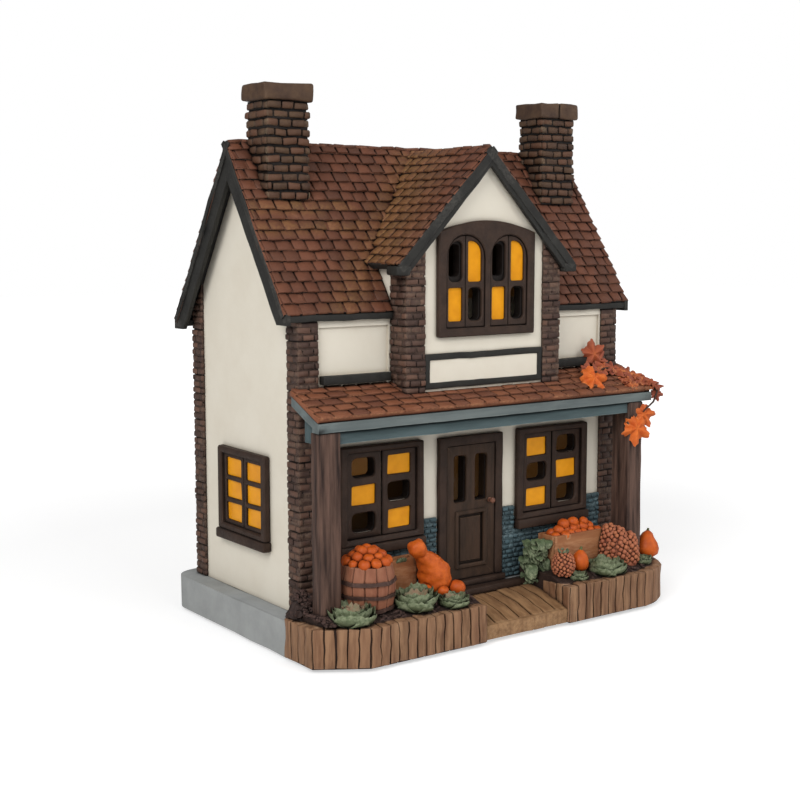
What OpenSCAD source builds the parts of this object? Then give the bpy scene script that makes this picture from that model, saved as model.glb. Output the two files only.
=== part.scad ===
// Harvest cottage: a battery-lit resin house with a dormer, a porch and a yard full of produce.
// X runs to the right, Y to the back and Z up. The origin is the bottom centre of the base.

/* [Base] */
// Width of the base, left to right
base_w = 193; // [190:1:210]
// Depth of the base, front to back
base_d = 129; // [126:1:142]
// Height of the plinth above its feet
plinth_h = 14.5; // [12:0.5:20]
// Radius of the plinth's back corners
plinth_corner_r = 9; // [3:0.5:14]
// Bare plinth left of the house
left_margin = 9; // [8:0.5:10]
// Bare plinth right of the house
right_margin = 13; // [12:0.5:15]
// Bare plinth behind the house
back_margin = 8.5; // [8:0.5:11]
// Depth of the yard in front of the house
yard_d = 34.5; // [33:0.5:38]
// Height of the sunken slab under the yard
yard_slab_h = 4.5; // [3:0.5:6]
// Plinth left in front of the house wall
plinth_lip = 3; // [2.5:0.5:4]
// Height of a rubber foot below the plinth
foot_h = 1.5; // [1:0.1:3]
// Diameter of a rubber foot
foot_d = 12; // [8:0.5:16]
// Distance of each foot's centre from the base's sides
foot_inset = 20; // [16:1:26]

/* [Yard] */
// Height of the fence from under the base's top to its own top
fence_h = 15.5; // [14:0.5:18]
// Thickness of the fence planks
fence_t = 3.5; // [2.5:0.1:4.5]
// Width of one fence plank
plank_w = 6.4; // [5:0.1:9]
// Depth of the groove between two planks
plank_groove = 0.6; // [0.3:0.1:1]
// Radius of the fence's front right corner
fence_corner_r = 25; // [18:1:28]
// Width of the fence's slanted left corner
chamfer_w = 19; // [12:1:24]
// Depth of the fence's slanted left corner
chamfer_d = 12; // [8:1:16]
// Length of the fence's return along the walkway
return_l = 17; // [10:0.5:20]
// Left edge of the walkway from the house's middle
walk_left = 18; // [16:0.5:22]
// Right edge of the walkway from the house's middle
walk_right = 28.5; // [22:0.5:30]
// Rise of the soil over the plinth's top
soil_rise = 4; // [2:0.5:6]
// Width of the soil's slope behind the fence
soil_slope_w = 9; // [6:0.5:12]
// Height of the door step
step_h = 3; // [2:0.5:4]
// Depth of the door step
step_d = 4.5; // [3:0.5:6]

/* [Walls] */
// Thickness of the walls
wall_t = 4; // [3:0.25:6]
// Width of a corner pillar on the front
pillar_w = 8.3; // [6:0.1:10]
// Depth of a corner pillar on the side
pillar_d = 7.5; // [6:0.1:10]
// Height of one brick course
brick_h = 4; // [3.2:0.1:5]
// Width of the joint between brick courses
joint_h = 0.7; // [0.5:0.1:1]
// Stand-out of the bricks from the wall
brick_out = 1; // [0.6:0.1:1.4]
// Height of the brick wainscot over the plinth
wainscot_h = 32; // [24:1:36]
// Depth of the recessed panels over the porch
panel_recess = 1; // [0.5:0.1:1.5]
// Height of the recessed panels over the plinth at their foot
panel_foot = 96; // [94:0.5:100]
// Height of the recessed panels
panel_h = 19; // [14:0.5:22]

/* [Roof] */
// Height of the ridge over the plinth
ridge_h = 190; // [184:1:200]
// Height of the roof's lower edge over the plinth
eave_h = 121; // [118:1:124]
// Overhang of the roof past the front wall
eave_out = 2.5; // [2:0.1:4]
// Overhang of the roof past the back wall
back_eave_out = 6.5; // [5:0.1:8]
// Overhang of the roof past the gables
rake_out = 7.5; // [6:0.1:9]
// Thickness of the roof with its tiles
roof_t = 3.5; // [3:0.1:5]
// Tile courses from ridge to eave
roof_courses = 17; // [10:1:20]
// Thickness of a tile's lower edge
tile_step = 0.9; // [0.4:0.1:1.4]
// Width of the barge boards, square to the slope
barge_w = 5.5; // [4:0.1:7]
// Thickness of the barge boards
barge_t = 2; // [1.4:0.1:2.4]
// Height of the eave boards
eave_board_h = 3; // [2:0.1:3.5]

/* [Dormer] */
// Half of the dormer's width over its piers
dormer_half = 41.5; // [39:0.5:43]
// Stand-out of the dormer's wall from the front wall
dormer_out = 10; // [8.5:0.5:12]
// Half of the dormer roof's span
dormer_span = 47; // [45:0.5:49]
// Height of the dormer roof's lower edges over the plinth
dormer_eave_h = 140; // [138:0.5:142]
// Drop of the dormer's ridge below the main ridge
dormer_drop = 1.5; // [1:0.1:3]
// Overhang of the dormer roof past its wall
dormer_overhang = 4; // [3.5:0.1:5]
// Tile courses on each dormer slope
dormer_courses = 14; // [8:1:18]
// Width of a dormer pier
pier_w = 9.5; // [8:0.1:11]
// Width of the dormer barge boards, square to the slope
dormer_barge_w = 2.6; // [2:0.1:4]
// Height of the bare sign over the plinth at its foot
sign_foot = 88.5; // [88:0.25:90]
// Height of the bare sign
sign_h = 14.5; // [12:0.5:16]
// Width of the sign's frame
sign_border = 2.6; // [1.5:0.1:3]

/* [Chimneys] */
// Width of a chimney cap
cap_w = 23; // [20:0.5:26]
// Depth of a chimney cap
cap_d = 19.5; // [17:0.5:20]
// Height of a chimney cap
cap_h = 7; // [5:0.5:9]
// Inset of the stack under its cap
cap_lip = 2; // [1:0.1:3]
// Height of the chimneys over the ridge
chimney_rise = 22; // [18:1:30]
// Distance of a cap from the gable wall's face
chimney_side = 0.5; // [0:0.1:4]
// Reach of a cap behind the ridge
chimney_back = 1; // [0.5:0.1:1.5]

/* [Porch] */
// Depth of the porch roof
porch_d = 21; // [19:0.5:22]
// Height of the porch roof at the wall, over the plinth
porch_h = 92; // [90:0.5:94]
// Fall of the porch roof from the wall to its edge
porch_fall = 9.5; // [8:0.5:11]
// Thickness of the porch roof
porch_t = 2.5; // [2:0.1:3.5]
// Tile courses on the porch roof
porch_courses = 5; // [3:1:7]
// Overhang of the porch roof past the house sides
porch_side = 4.3; // [3:0.1:6]
// Thickness of the boards under the porch roof's sloping ends
verge_t = 2; // [1.5:0.1:2.5]
// Height of the gutter's bottom over the plinth
gutter_foot = 76.5; // [75:0.5:78]
// Depth of the gutter
gutter_d = 4; // [3:0.1:5]
// Height of the beam under the gutter
beam_h = 5; // [4:0.1:7]
// Width of the left porch post
left_post_w = 9.5; // [8:0.1:11]
// Width of the right porch post
right_post_w = 8.9; // [6:0.1:10]
// Depth of the left porch post
left_post_d = 7; // [5:0.1:8]
// Depth of the right porch post
right_post_d = 10.8; // [7:0.1:12]
// Stand-out of the left porch post past the house side
left_post_out = 3.5; // [2.5:0.1:4]
// Distance of the right porch post from the house side
right_post_in = 0.2; // [0:0.1:3]

/* [Windows and door] */
// Wall between the door's frame and a front window
door_gap = 8.5; // [7:0.5:10]
// Wall between a front window and the corner pillar
corner_gap = 9.2; // [7:0.1:12]
// Height of the front windows above their sills
window_h = 41; // [36:0.5:44]
// Height of the front sills' tops over the plinth
window_foot = 25.5; // [24:0.5:28]
// Width of the side windows
side_window_w = 40; // [34:0.5:46]
// Height of the side windows above their sills
side_window_h = 36; // [30:0.5:40]
// Stand-out of the window frames
frame_out = 2.4; // [1.8:0.1:3]
// Width of the frames' outer rails
frame_rail = 5; // [3.5:0.1:6]
// Width of the bars between panes
frame_bar = 3; // [2:0.1:4]
// Height of the sills
sill_h = 4; // [3:0.1:6]
// Stand-out of the sills
sill_out = 3.4; // [2.6:0.1:4.5]
// Thickness of the amber panes
pane_t = 1; // [0.6:0.1:1.4]
// Half width of the dormer window
arch_half = 26; // [23:0.5:28]
// Height of the dormer window's foot over the plinth
arch_foot = 109.5; // [107:0.5:112]
// Height of the dormer window at its shoulders
arch_shoulder = 43; // [38:0.5:45]
// Rise of the dormer window's arch over its shoulders
arch_rise = 4.8; // [3:0.1:6]
// Stand-out of the dormer window's frame
arch_out = 1.8; // [1.2:0.1:1.9]
// Width of the door with its frame
door_w = 35; // [30:0.5:35]
// Height of the door with its frame over the step
door_h = 63; // [56:0.5:66]
// Width of the door's frame
door_rail = 4; // [3:0.1:5]
// Thickness of the door leaf
door_leaf_t = 1.5; // [1:0.1:2]
// Diameter of the door knob
knob_d = 3.6; // [2.5:0.1:5]

/* [Produce] */
// Diameter of the barrel at its middle
barrel_d = 24; // [20:0.5:25]
// Height of the barrel
barrel_h = 18; // [14:0.5:22]
// Gap between the barrel and the window sill
barrel_gap = 0.5; // [0.3:0.1:1.5]
// Radius of the big cabbage
cabbage_r = 10; // [7:0.5:10]
// Radius of the crookneck gourd's body
gourd_r = 6.6; // [5:0.1:7]
// Radius of the small pumpkin
pumpkin_r = 3.4; // [2.8:0.1:3.8]
// Radius of the pear gourd
pear_r = 4.7; // [3.5:0.1:4.8]
// Radius of the egg-shaped gourd
egg_r = 3.8; // [3:0.1:4]
// Radius of the studded cone
cone_r = 5.6; // [4.5:0.1:6]
// Radius of the berry mound
berry_r = 6.2; // [5:0.1:6.6]
// Width of the right crate
crate_w = 32; // [26:0.5:33]
// Depth of the right crate
crate_d = 11; // [10:0.5:12]
// Height of the right crate
crate_h = 15; // [12:0.5:17]
// Thickness of the crates' boards
crate_rim = 1.5; // [1:0.1:2]
// Depth of the crates' sunk tops
crate_sunk = 3; // [2:0.1:4]
// Radius of a fruit in the crate
fruit_r = 3.3; // [2.5:0.1:3.6]
// Size of a maple leaf on the porch roof
leaf_size = 12; // [9:0.5:14]
// Thickness of a maple leaf
leaf_t = 1.2; // [0.8:0.1:1.6]

/* [Lamp and batteries] */
// Diameter of a battery
cell_d = 10.5; // [10:0.1:10.5]
// Length of a battery with its button
cell_l = 44.5; // [42:0.1:45]
// Room at each end of the batteries for a contact
contact_room = 3.5; // [2.5:0.1:5]
// Wall of the battery box
box_wall = 1.6; // [1.2:0.1:2.4]
// Width of the solid end of the box that takes the screw
boss_w = 9; // [7:0.1:12]
// Height of the battery box over the plinth
box_foot = 8; // [4:0.5:20]
// Thickness of the battery cover
cover_t = 2.4; // [2:0.1:3]
// Reach of the cover past the box
cover_lip = 3; // [2:0.1:5]
// Diameter of the cover screw's shank
screw_d = 2.5; // [2:0.1:3]
// Length of the screw's shank in the box
screw_grip = 7; // [5:0.5:10]
// Radial clearance of the screw in its holes
screw_clear = 0.06; // [0.03:0.01:0.1]
// Distance of the switch from the battery box
switch_gap = 12; // [8:0.5:20]
// Travel of the switch
switch_travel = 4; // [2:0.1:5]
// Width of the switch knob
switch_knob = 3.6; // [3:0.1:5]
// Clearance round the switch knob
switch_clear = 0.3; // [0.2:0.05:0.5]
// Diameter of the lamp
lamp_d = 8; // [5:0.5:10]
// Diameter of a lamp wire
wire_d = 1.4; // [1:0.1:2]

/* [Hidden] */
$fn = 48;
eps = 0.05;

// House box
house_w = base_w - left_margin - right_margin;
house_d = base_d - back_margin - yard_d;
floor_z = foot_h + plinth_h;
yard_z = foot_h + yard_slab_h;
x_left = left_margin - base_w / 2;
x_right = x_left + house_w;
x_mid = x_left + house_w / 2;
y_back = base_d / 2 - back_margin;
y_front = y_back - house_d;
y_ridge = (y_front + y_back) / 2;

// Front windows, which fill the wall that the gaps leave
window_w = house_w / 2 - pillar_w - corner_gap - door_gap - door_w / 2;
window_off = door_w / 2 + door_gap + window_w / 2;

// Main roof
ridge_z = floor_z + ridge_h;
roof_run = house_d / 2 + eave_out;
back_run = house_d / 2 + back_eave_out;
roof_pitch = atan((ridge_h - eave_h) / roof_run);
function over_roof(y) = ridge_z - tan(roof_pitch) * abs(y - y_ridge);
function under_roof(y) = over_roof(y) - roof_t / cos(roof_pitch);

// Porch roof
porch_z = floor_z + porch_h;
porch_pitch = atan(porch_fall / porch_d);
function over_porch(y) = porch_z - tan(porch_pitch) * (y_front - y);
function under_porch(y) = over_porch(y) - porch_t / cos(porch_pitch);
porch_edge_y = y_front - porch_d;
porch_lip_y = porch_edge_y + porch_t * sin(porch_pitch);
gutter_z = floor_z + gutter_foot;
beam_z = gutter_z - beam_h;
post_front_y = porch_edge_y + 0.5;
left_post_x0 = x_left - left_post_out;
left_post_x1 = left_post_x0 + left_post_w;
right_post_x1 = x_right - right_post_in;
right_post_x0 = right_post_x1 - right_post_w;

// Dormer
dormer_z = ridge_z - dormer_drop;
dormer_pitch = atan((dormer_z - floor_z - dormer_eave_h) / dormer_span);
dormer_y = y_front - dormer_out;
dormer_edge_y = dormer_y - dormer_overhang;
pier_y = dormer_y - brick_out;
function under_dormer(x) = dormer_z - tan(dormer_pitch) * abs(x - x_mid) - roof_t / cos(dormer_pitch);

// Yard
fence_z = foot_h + fence_h;
soil_z = floor_z + soil_rise;
bed_back_y = y_front - brick_out - eps;
bed_front_y = -base_d / 2 + fence_t;
walk_x0 = x_mid - walk_left;
walk_x1 = x_mid + walk_right;
slab_front_y = y_front - plinth_lip;

// Places in the yard, as shares of half the planted width and of the yard's depth
plant_margin = 8;
function yard_x(share) = x_mid + share * (base_w / 2 - plant_margin);
function yard_y(share) = y_front - share * yard_d;

// Battery box
bay_w = cell_l + 2 * contact_room;
bay_h = 2 * cell_d + 1;
box_w = bay_w + 2 * box_wall + boss_w;
box_h = bay_h + 2 * box_wall;
box_depth = cell_d + 0.6 + box_wall;
box_z = floor_z + box_foot;
box_x0 = x_mid - box_w / 2;
bay_x0 = box_x0 + box_wall;
bay_z = box_z + box_wall;
box_y = y_back - box_depth;
boss_x = box_x0 + box_w - boss_w / 2;
boss_z = box_z + box_h / 2;
switch_x = box_x0 - switch_gap;
switch_z = boss_z;

// Extrudes an outline drawn in Y and Z along X
module across(x0, x1) {
  translate([x0, 0, 0]) rotate([90, 0, 90]) linear_extrude(x1 - x0) children();
}

// Extrudes an outline drawn in X and Z along Y
module through(y0, y1) {
  translate([0, y1, 0]) rotate([90, 0, 0]) linear_extrude(y1 - y0) children();
}

module box(x0, x1, y0, y1, z0, z1) {
  translate([x0, y0, z0]) cube([x1 - x0, y1 - y0, z1 - z0]);
}

// Profile of a tiled slope whose top edge is at [across, height], falling towards side
function slope_points(top, side, run, pitch, thick, courses) =
  let (
    down = [side * cos(pitch), -sin(pitch)],
    out = [side * sin(pitch), cos(pitch)],
    pace = run / cos(pitch) / courses,
    foot = top + down * run / cos(pitch)
  )
  concat(
    [top - [0, thick / cos(pitch)], top - [0, tile_step / cos(pitch)]],
    [for (i = [1 : courses - 1]) each [top + down * pace * i, top + down * pace * i - out * tile_step]],
    [foot, foot - out * thick]
  );

// Everything under the main roof's tile tips
module under_main_roof() {
  deep = base_d / 2;
  across(-base_w, base_w) polygon([
    [y_ridge - deep, over_roof(y_ridge - deep)],
    [y_ridge, ridge_z],
    [y_ridge + deep, over_roof(y_ridge + deep)],
    [y_ridge + deep, 0],
    [y_ridge - deep, 0]
  ]);
}

// Everything under the porch roof's tile tips
module under_porch_roof() {
  across(-base_w, base_w) polygon([
    [y_front, 0], [y_front, porch_z], [porch_edge_y, over_porch(porch_edge_y)], [porch_edge_y, 0]
  ]);
}

// The dormer's clear inside
module dormer_inside() {
  half = dormer_half - wall_t;
  through(-base_d, y_ridge) polygon([
    [x_mid - half, 0],
    [x_mid + half, 0],
    [x_mid + half, under_dormer(x_mid + half)],
    [x_mid, under_dormer(x_mid)],
    [x_mid - half, under_dormer(x_mid - half)]
  ]);
}

// Outline of the yard, drawn in by inset
module yard_outline(inset) {
  left = -base_w / 2 + inset;
  right = base_w / 2 - inset;
  front = -base_d / 2 + inset;
  turn_x = base_w / 2 - fence_corner_r;
  turn_y = -base_d / 2 + fence_corner_r;
  cut = inset * tan(atan2(chamfer_d, chamfer_w) / 2);
  polygon([
    [left, slab_front_y],
    [left, -base_d / 2 + chamfer_d + inset * tan((90 - atan2(chamfer_d, chamfer_w)) / 2)],
    [-base_w / 2 + chamfer_w + cut, front],
    [turn_x, front],
    [turn_x, slab_front_y]
  ]);
  intersection() {
    translate([turn_x, turn_y]) circle(fence_corner_r - inset);
    translate([turn_x, front]) square([right - turn_x, slab_front_y - front]);
  }
  translate([turn_x, turn_y]) square([right - turn_x, slab_front_y - turn_y]);
}

// Space of the soil and fences, which the produce is cut by
module planted_ground() {
  across(-base_w, base_w) polygon([
    [-base_d, 0],
    [-base_d, fence_z],
    [bed_front_y, fence_z],
    [bed_front_y + soil_slope_w, soil_z],
    [y_front, soil_z],
    [y_front, 0]
  ]);
}

// Brick courses filling a block, with sunk joints, from the block's top down
module brick_block(x0, x1, y0, y1, z0, z1) {
  courses = floor((z1 - z0) / brick_h);
  sunk = joint_h / 2;
  box(x0 + sunk, x1 - sunk, y0 + sunk, y1 - sunk, z0, z1);
  for (i = [0 : courses - 1]) {
    top = z1 - i * brick_h;
    box(x0, x1, y0, y1, top - brick_h + joint_h, top);
  }
}

// One pane's rectangle [x, z, width, height] in a window of w by h
function pane_rect(w, h, cols, rows, col, row) =
  let (
    pane_w = (w - 2 * frame_rail - (cols - 1) * frame_bar) / cols,
    pane_h = (h - 2 * frame_rail - (rows - 1) * frame_bar) / rows
  )
  [
    -w / 2 + frame_rail + col * (pane_w + frame_bar), frame_rail + row * (pane_h + frame_bar),
    pane_w, pane_h
  ];

// Panes whose column and row add up to an odd or even number, as first says, or all with first = -1
module panes(w, h, cols, rows, first) {
  for (col = [0 : cols - 1], row = [0 : rows - 1])
    if (first < 0 || (col + row) % 2 == first) {
      rect = pane_rect(w, h, cols, rows, col, row);
      translate([rect[0], rect[1]]) square([rect[2], rect[3]]);
    }
}

// Base
module base_plinth() {
  color("gray") difference() {
    union() {
      translate([0, 0, foot_h]) linear_extrude(plinth_h) {
        translate([-base_w / 2, slab_front_y])
          square([base_w, base_d / 2 - plinth_corner_r - slab_front_y]);
        for (side = [-1, 1])
          translate([side * (base_w / 2 - plinth_corner_r), base_d / 2 - plinth_corner_r])
            circle(plinth_corner_r);
        translate([-base_w / 2 + plinth_corner_r, base_d / 2 - plinth_corner_r])
          square([base_w - 2 * plinth_corner_r, plinth_corner_r]);
      }
      translate([0, 0, foot_h]) linear_extrude(yard_slab_h) yard_outline(fence_t);
    }
    feet_space();
  }
}

// The feet and the seats that hold them
module feet_space() {
  seat = 1;
  for (x = [-1, 1], y = [-1, 1])
    translate([x * (base_w / 2 - foot_inset), y * (base_d / 2 - foot_inset), 0])
      cylinder(d = foot_d, h = foot_h + seat);
}

module rubber_feet() {
  color("black") feet_space();
}

module soil_bed(x0, x1) {
  color("#3a2a20") difference() {
    intersection() {
      linear_extrude(soil_z + 1) union() {
        yard_outline(fence_t);
        translate([-base_w / 2 + fence_t, slab_front_y]) square([base_w - 2 * fence_t, plinth_lip]);
      }
      across(x0, x1) polygon([
        [bed_front_y, yard_z],
        [slab_front_y, yard_z],
        [slab_front_y, floor_z],
        [bed_back_y, floor_z],
        [bed_back_y, soil_z],
        [bed_front_y + soil_slope_w, soil_z],
        [bed_front_y, fence_z]
      ]);
    }
    left_porch_post();
    right_porch_post();
    walk_return();
  }
}

// Short run of fence that holds the right bed back from the walkway
module walk_return() {
  box(walk_x1, walk_x1 + fence_t, -base_d / 2, -base_d / 2 + return_l, yard_z, fence_z);
}

module soil_beds() {
  soil_bed(-base_w / 2, walk_x0);
  soil_bed(walk_x1, base_w / 2);
}

// Grooves between the planks along the front of the fence
module plank_grooves(x0, x1) {
  count = floor((x1 - x0) / plank_w);
  for (i = [1 : count - 1])
    box(x0 + i * plank_w - plank_groove / 2, x0 + i * plank_w + plank_groove / 2,
        -base_d / 2, -base_d / 2 + plank_groove, 0, fence_z + 1);
}

module fence(x0, x1) {
  color("#a07d62") difference() {
    translate([0, 0, foot_h]) linear_extrude(fence_h) intersection() {
      difference() {
        yard_outline(0);
        yard_outline(fence_t);
      }
      translate([x0, -base_d]) square([x1 - x0, base_d + slab_front_y]);
    }
    children();
  }
}

module left_fence() {
  fence(-base_w, walk_x0) plank_grooves(-base_w / 2 + chamfer_w, walk_x0);
}

module right_fence() {
  fence(walk_x1, base_w) plank_grooves(walk_x1, base_w / 2 - fence_corner_r);
  color("#a07d62") walk_return();
}

module walkway() {
  lip_h = 6;
  inner_fall = 2;
  boards = 7;
  pitch_x = (walk_x1 - walk_x0) / boards;
  color("#a5825f") difference() {
    across(walk_x0, walk_x1) polygon([
      [-base_d / 2 + 1, foot_h],
      [bed_front_y, foot_h],
      [bed_front_y, yard_z],
      [slab_front_y, yard_z],
      [slab_front_y, floor_z - inner_fall],
      [-base_d / 2 + 1, foot_h + lip_h]
    ]);
    for (i = [1 : boards - 1])
      across(walk_x0 + i * pitch_x - plank_groove / 2, walk_x0 + i * pitch_x + plank_groove / 2) polygon([
        [-base_d / 2, foot_h + lip_h - plank_groove],
        [slab_front_y, floor_z - inner_fall - plank_groove],
        [slab_front_y, floor_z],
        [-base_d / 2, floor_z]
      ]);
  }
}

module door_step() {
  color("#3f3430") box(
    x_mid - walk_left, x_mid + walk_left, y_front - step_d, y_front, floor_z, floor_z + step_h
  );
}

// Walls
module slanted_wall_outline(y0, y1) {
  polygon([[y0, floor_z], [y1, floor_z], [y1, under_roof(y1)], [y0, under_roof(y0)]]);
}

module front_wall() {
  door_foot = floor_z + step_h;
  color("#d8d2c4") difference() {
    across(x_left + pillar_w, x_right - pillar_w) slanted_wall_outline(y_front, y_front + wall_t);
    for (side = [-1, 1])
      translate([x_mid + side * window_off, 0, floor_z + window_foot])
        through(y_front - 1, y_front + wall_t + 1) panes(window_w, window_h, 2, 3, side < 0 ? 0 : 1);
    translate([x_mid, 0, door_foot]) through(y_front - 1, y_front + wall_t + 1) door_panes();
    for (side = [-1, 1])
      mirror_about_middle(side) box(
        x_mid + dormer_half + 1, x_right - pillar_w - 1, y_front - 1, y_front + panel_recess,
        floor_z + panel_foot, floor_z + panel_foot + panel_h
      );
  }
}

// Keeps the right half's shape, or mirrors it about the house's middle
module mirror_about_middle(side) {
  if (side > 0) children();
  else translate([2 * x_mid, 0, 0]) mirror([1, 0, 0]) children();
}

module back_wall() {
  color("#d8d2c4") difference() {
    across(x_left + pillar_w, x_right - pillar_w) slanted_wall_outline(y_back - wall_t, y_back);
    box(box_x0, box_x0 + box_w, y_back - wall_t - 1, y_back + 1, box_z, box_z + box_h);
    switch_slot(y_back - wall_t - 1, y_back + 1);
  }
}

module gable_wall(x0) {
  y0 = y_front + pillar_d;
  y1 = y_back - pillar_d;
  color("#d8d2c4") across(x0, x0 + wall_t) polygon([
    [y0, floor_z], [y1, floor_z], [y1, under_roof(y1)], [y_ridge, under_roof(y_ridge)], [y0, under_roof(y0)]
  ]);
}

module left_gable_wall() {
  gable_wall(x_left);
}

module right_gable_wall() {
  gable_wall(x_right - wall_t);
}

// Corner pillar of the front right corner, with its top along the roof
module corner_pillar() {
  y0 = y_front - brick_out;
  y1 = y_front + pillar_d;
  color("#5b4640") intersection() {
    brick_block(x_right - pillar_w, x_right + brick_out, y0, y1, floor_z, under_roof(y1));
    across(x_left, x_right + base_w) slanted_wall_outline(y0, y1);
  }
}

module front_pillars() {
  for (side = [-1, 1]) mirror_about_middle(side) corner_pillar();
}

module back_pillars() {
  translate([0, 2 * y_ridge, 0]) mirror([0, 1, 0]) front_pillars();
}

// Brick wainscot from the door to the corner pillars, lower under the windows
module porch_wainscot() {
  near_x = x_mid + window_off - window_w / 2 - 1;
  far_x = x_mid + window_off + window_w / 2 + 1;
  face_y = y_front - brick_out;
  sill_z = floor_z + window_foot - sill_h - eps;
  color("#5f7479") for (side = [-1, 1])
    mirror_about_middle(side) {
      brick_block(x_mid + door_w / 2 + 1, near_x, face_y, y_front, floor_z, floor_z + wainscot_h);
      brick_block(near_x, far_x, face_y, y_front, floor_z, sill_z);
      brick_block(far_x, x_right - pillar_w, face_y, y_front, floor_z, floor_z + wainscot_h);
    }
}

module upper_sills() {
  bar_h = 3.5;
  color("#33362f") for (side = [-1, 1])
    mirror_about_middle(side) box(
      x_mid + dormer_half + 2, x_right - pillar_w - 1, y_front - sill_out, y_front,
      floor_z + panel_foot - bar_h, floor_z + panel_foot
    );
}

// Roof
module front_roof_slope(x0, x1) {
  color("#7b4b3e") difference() {
    across(x0, x1) polygon(slope_points([y_ridge, ridge_z], -1, roof_run, roof_pitch, roof_t, roof_courses));
    dormer_inside();
    box(x_mid - dormer_half, x_mid + dormer_half, -base_d, y_front, 0, ridge_z);
  }
}

module front_left_roof() {
  front_roof_slope(x_left - rake_out, x_mid);
}

module front_right_roof() {
  front_roof_slope(x_mid, x_right + rake_out);
}

module back_roof() {
  color("#7b4b3e") across(x_left - rake_out, x_right + rake_out)
    polygon(slope_points([y_ridge, ridge_z], 1, back_run, roof_pitch, roof_t, roof_courses + 1));
}

// Pair of boards under a gable's edge, as an outline in the gable's plane
module barge_outline(middle, top, pitch, run, width) {
  drop = width / cos(pitch);
  fall = tan(pitch) * run;
  polygon([
    [middle - run, top - fall],
    [middle, top],
    [middle + run, top - fall],
    [middle + run, top - fall - drop],
    [middle, top - drop],
    [middle - run, top - fall - drop]
  ]);
}

// Outline of one board under a main slope, with its foot cut level under the eave's end
module main_barge_outline(side, run) {
  heel_h = 4.5;
  drop = barge_w / cos(roof_pitch);
  eave_y = y_ridge + side * run;
  eave_z = over_roof(eave_y) - eps;
  inner_run = (under_roof(y_ridge) - drop - eave_z + heel_h) / tan(roof_pitch);
  polygon([
    [y_ridge, under_roof(y_ridge)],
    [eave_y - side * roof_t * sin(roof_pitch), eave_z - roof_t * cos(roof_pitch)],
    [eave_y, eave_z],
    [eave_y, eave_z - heel_h],
    [y_ridge + side * inner_run, eave_z - heel_h],
    [y_ridge, under_roof(y_ridge) - drop]
  ]);
}

module side_barge_boards(x0) {
  color("#33362f") across(x0, x0 + barge_t) {
    main_barge_outline(-1, roof_run);
    main_barge_outline(1, back_run);
  }
}

module gable_barge_boards() {
  edge_gap = 0.4;
  side_barge_boards(x_left - rake_out + edge_gap);
  side_barge_boards(x_right + rake_out - edge_gap - barge_t);
}

module eave_boards() {
  board_top = under_roof(y_front - brick_out);
  color("#33362f") {
    for (side = [-1, 1])
      mirror_about_middle(side) box(
        x_mid + dormer_half + 1, x_right - pillar_w, y_front - brick_out, y_front,
        board_top - eave_board_h, board_top
      );
    box(
      x_left + pillar_w, x_right - pillar_w, y_back, y_back + brick_out,
      board_top - eave_board_h, board_top
    );
  }
}

// Dormer
module dormer_front() {
  half = dormer_half - pier_w;
  color("#d8d2c4") difference() {
    through(dormer_y, dormer_y + wall_t) polygon([
      [x_mid - half, 0],
      [x_mid + half, 0],
      [x_mid + half, under_dormer(x_mid + half)],
      [x_mid, under_dormer(x_mid)],
      [x_mid - half, under_dormer(x_mid - half)]
    ]);
    under_porch_roof();
    translate([x_mid, 0, floor_z + arch_foot]) through(dormer_y - 1, dormer_y + wall_t + 1) arch_panes(1);
  }
}

module dormer_cheeks() {
  top = under_dormer(x_mid + dormer_half);
  color("#d8d2c4") for (side = [-1, 1])
    mirror_about_middle(side) difference() {
      box(x_mid + dormer_half - wall_t, x_mid + dormer_half, y_front, y_ridge, over_roof(y_front), top);
      under_main_roof();
    }
}

module dormer_walls() {
  dormer_front();
  dormer_cheeks();
}

module dormer_pier() {
  x0 = x_mid + dormer_half - pier_w;
  x1 = x_mid + dormer_half;
  color("#5b4640") difference() {
    intersection() {
      brick_block(x0, x1, pier_y, y_front, over_porch(pier_y), under_dormer(x0));
      through(pier_y - 1, y_front + 1) polygon([
        [x0 - 1, 0], [x1 + 1, 0], [x1 + 1, under_dormer(x1 + 1)], [x0 - 1, under_dormer(x0 - 1)]
      ]);
    }
    under_porch_roof();
  }
}

module dormer_left_pier() {
  mirror_about_middle(-1) dormer_pier();
}

module dormer_right_pier() {
  dormer_pier();
}

module dormer_slope(side) {
  color("#7b4b3e") difference() {
    through(dormer_edge_y, y_ridge)
      polygon(slope_points([x_mid, dormer_z], side, dormer_span, dormer_pitch, roof_t, dormer_courses));
    under_main_roof();
  }
}

module dormer_left_roof() {
  dormer_slope(-1);
}

module dormer_right_roof() {
  dormer_slope(1);
}

module dormer_barge_boards() {
  color("#33362f") through(dormer_edge_y, dormer_edge_y + barge_t)
    barge_outline(x_mid, under_dormer(x_mid), dormer_pitch, dormer_half + 1.5, dormer_barge_w);
}

// Panes of the dormer's window, which follow two round heads
module arch_panes(first) {
  pair_w = arch_half - frame_rail - frame_bar / 2;
  height = arch_shoulder + arch_rise;
  intersection() {
    panes(2 * arch_half, height - arch_rise / 2, 4, 2, first);
    for (side = [-1, 1]) translate([side * (frame_bar + pair_w) / 2, 0]) {
      head_z = height - frame_rail - pair_w / 2;
      translate([0, head_z]) circle(pair_w / 2 + frame_bar / 2);
      translate([-pair_w / 2, 0]) square([pair_w, head_z]);
    }
  }
}

module arch_outline() {
  radius = (pow(arch_half, 2) + pow(arch_rise, 2)) / (2 * arch_rise);
  intersection() {
    translate([-arch_half, 0]) square([2 * arch_half, arch_shoulder + arch_rise]);
    translate([0, arch_shoulder + arch_rise - radius]) circle(radius, $fn = 128);
  }
}

module dormer_window() {
  color("#3f3430") translate([x_mid, 0, floor_z + arch_foot]) {
    through(dormer_y - arch_out, dormer_y) difference() {
      arch_outline();
      arch_panes(0);
      arch_panes(1);
    }
  }
}

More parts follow.
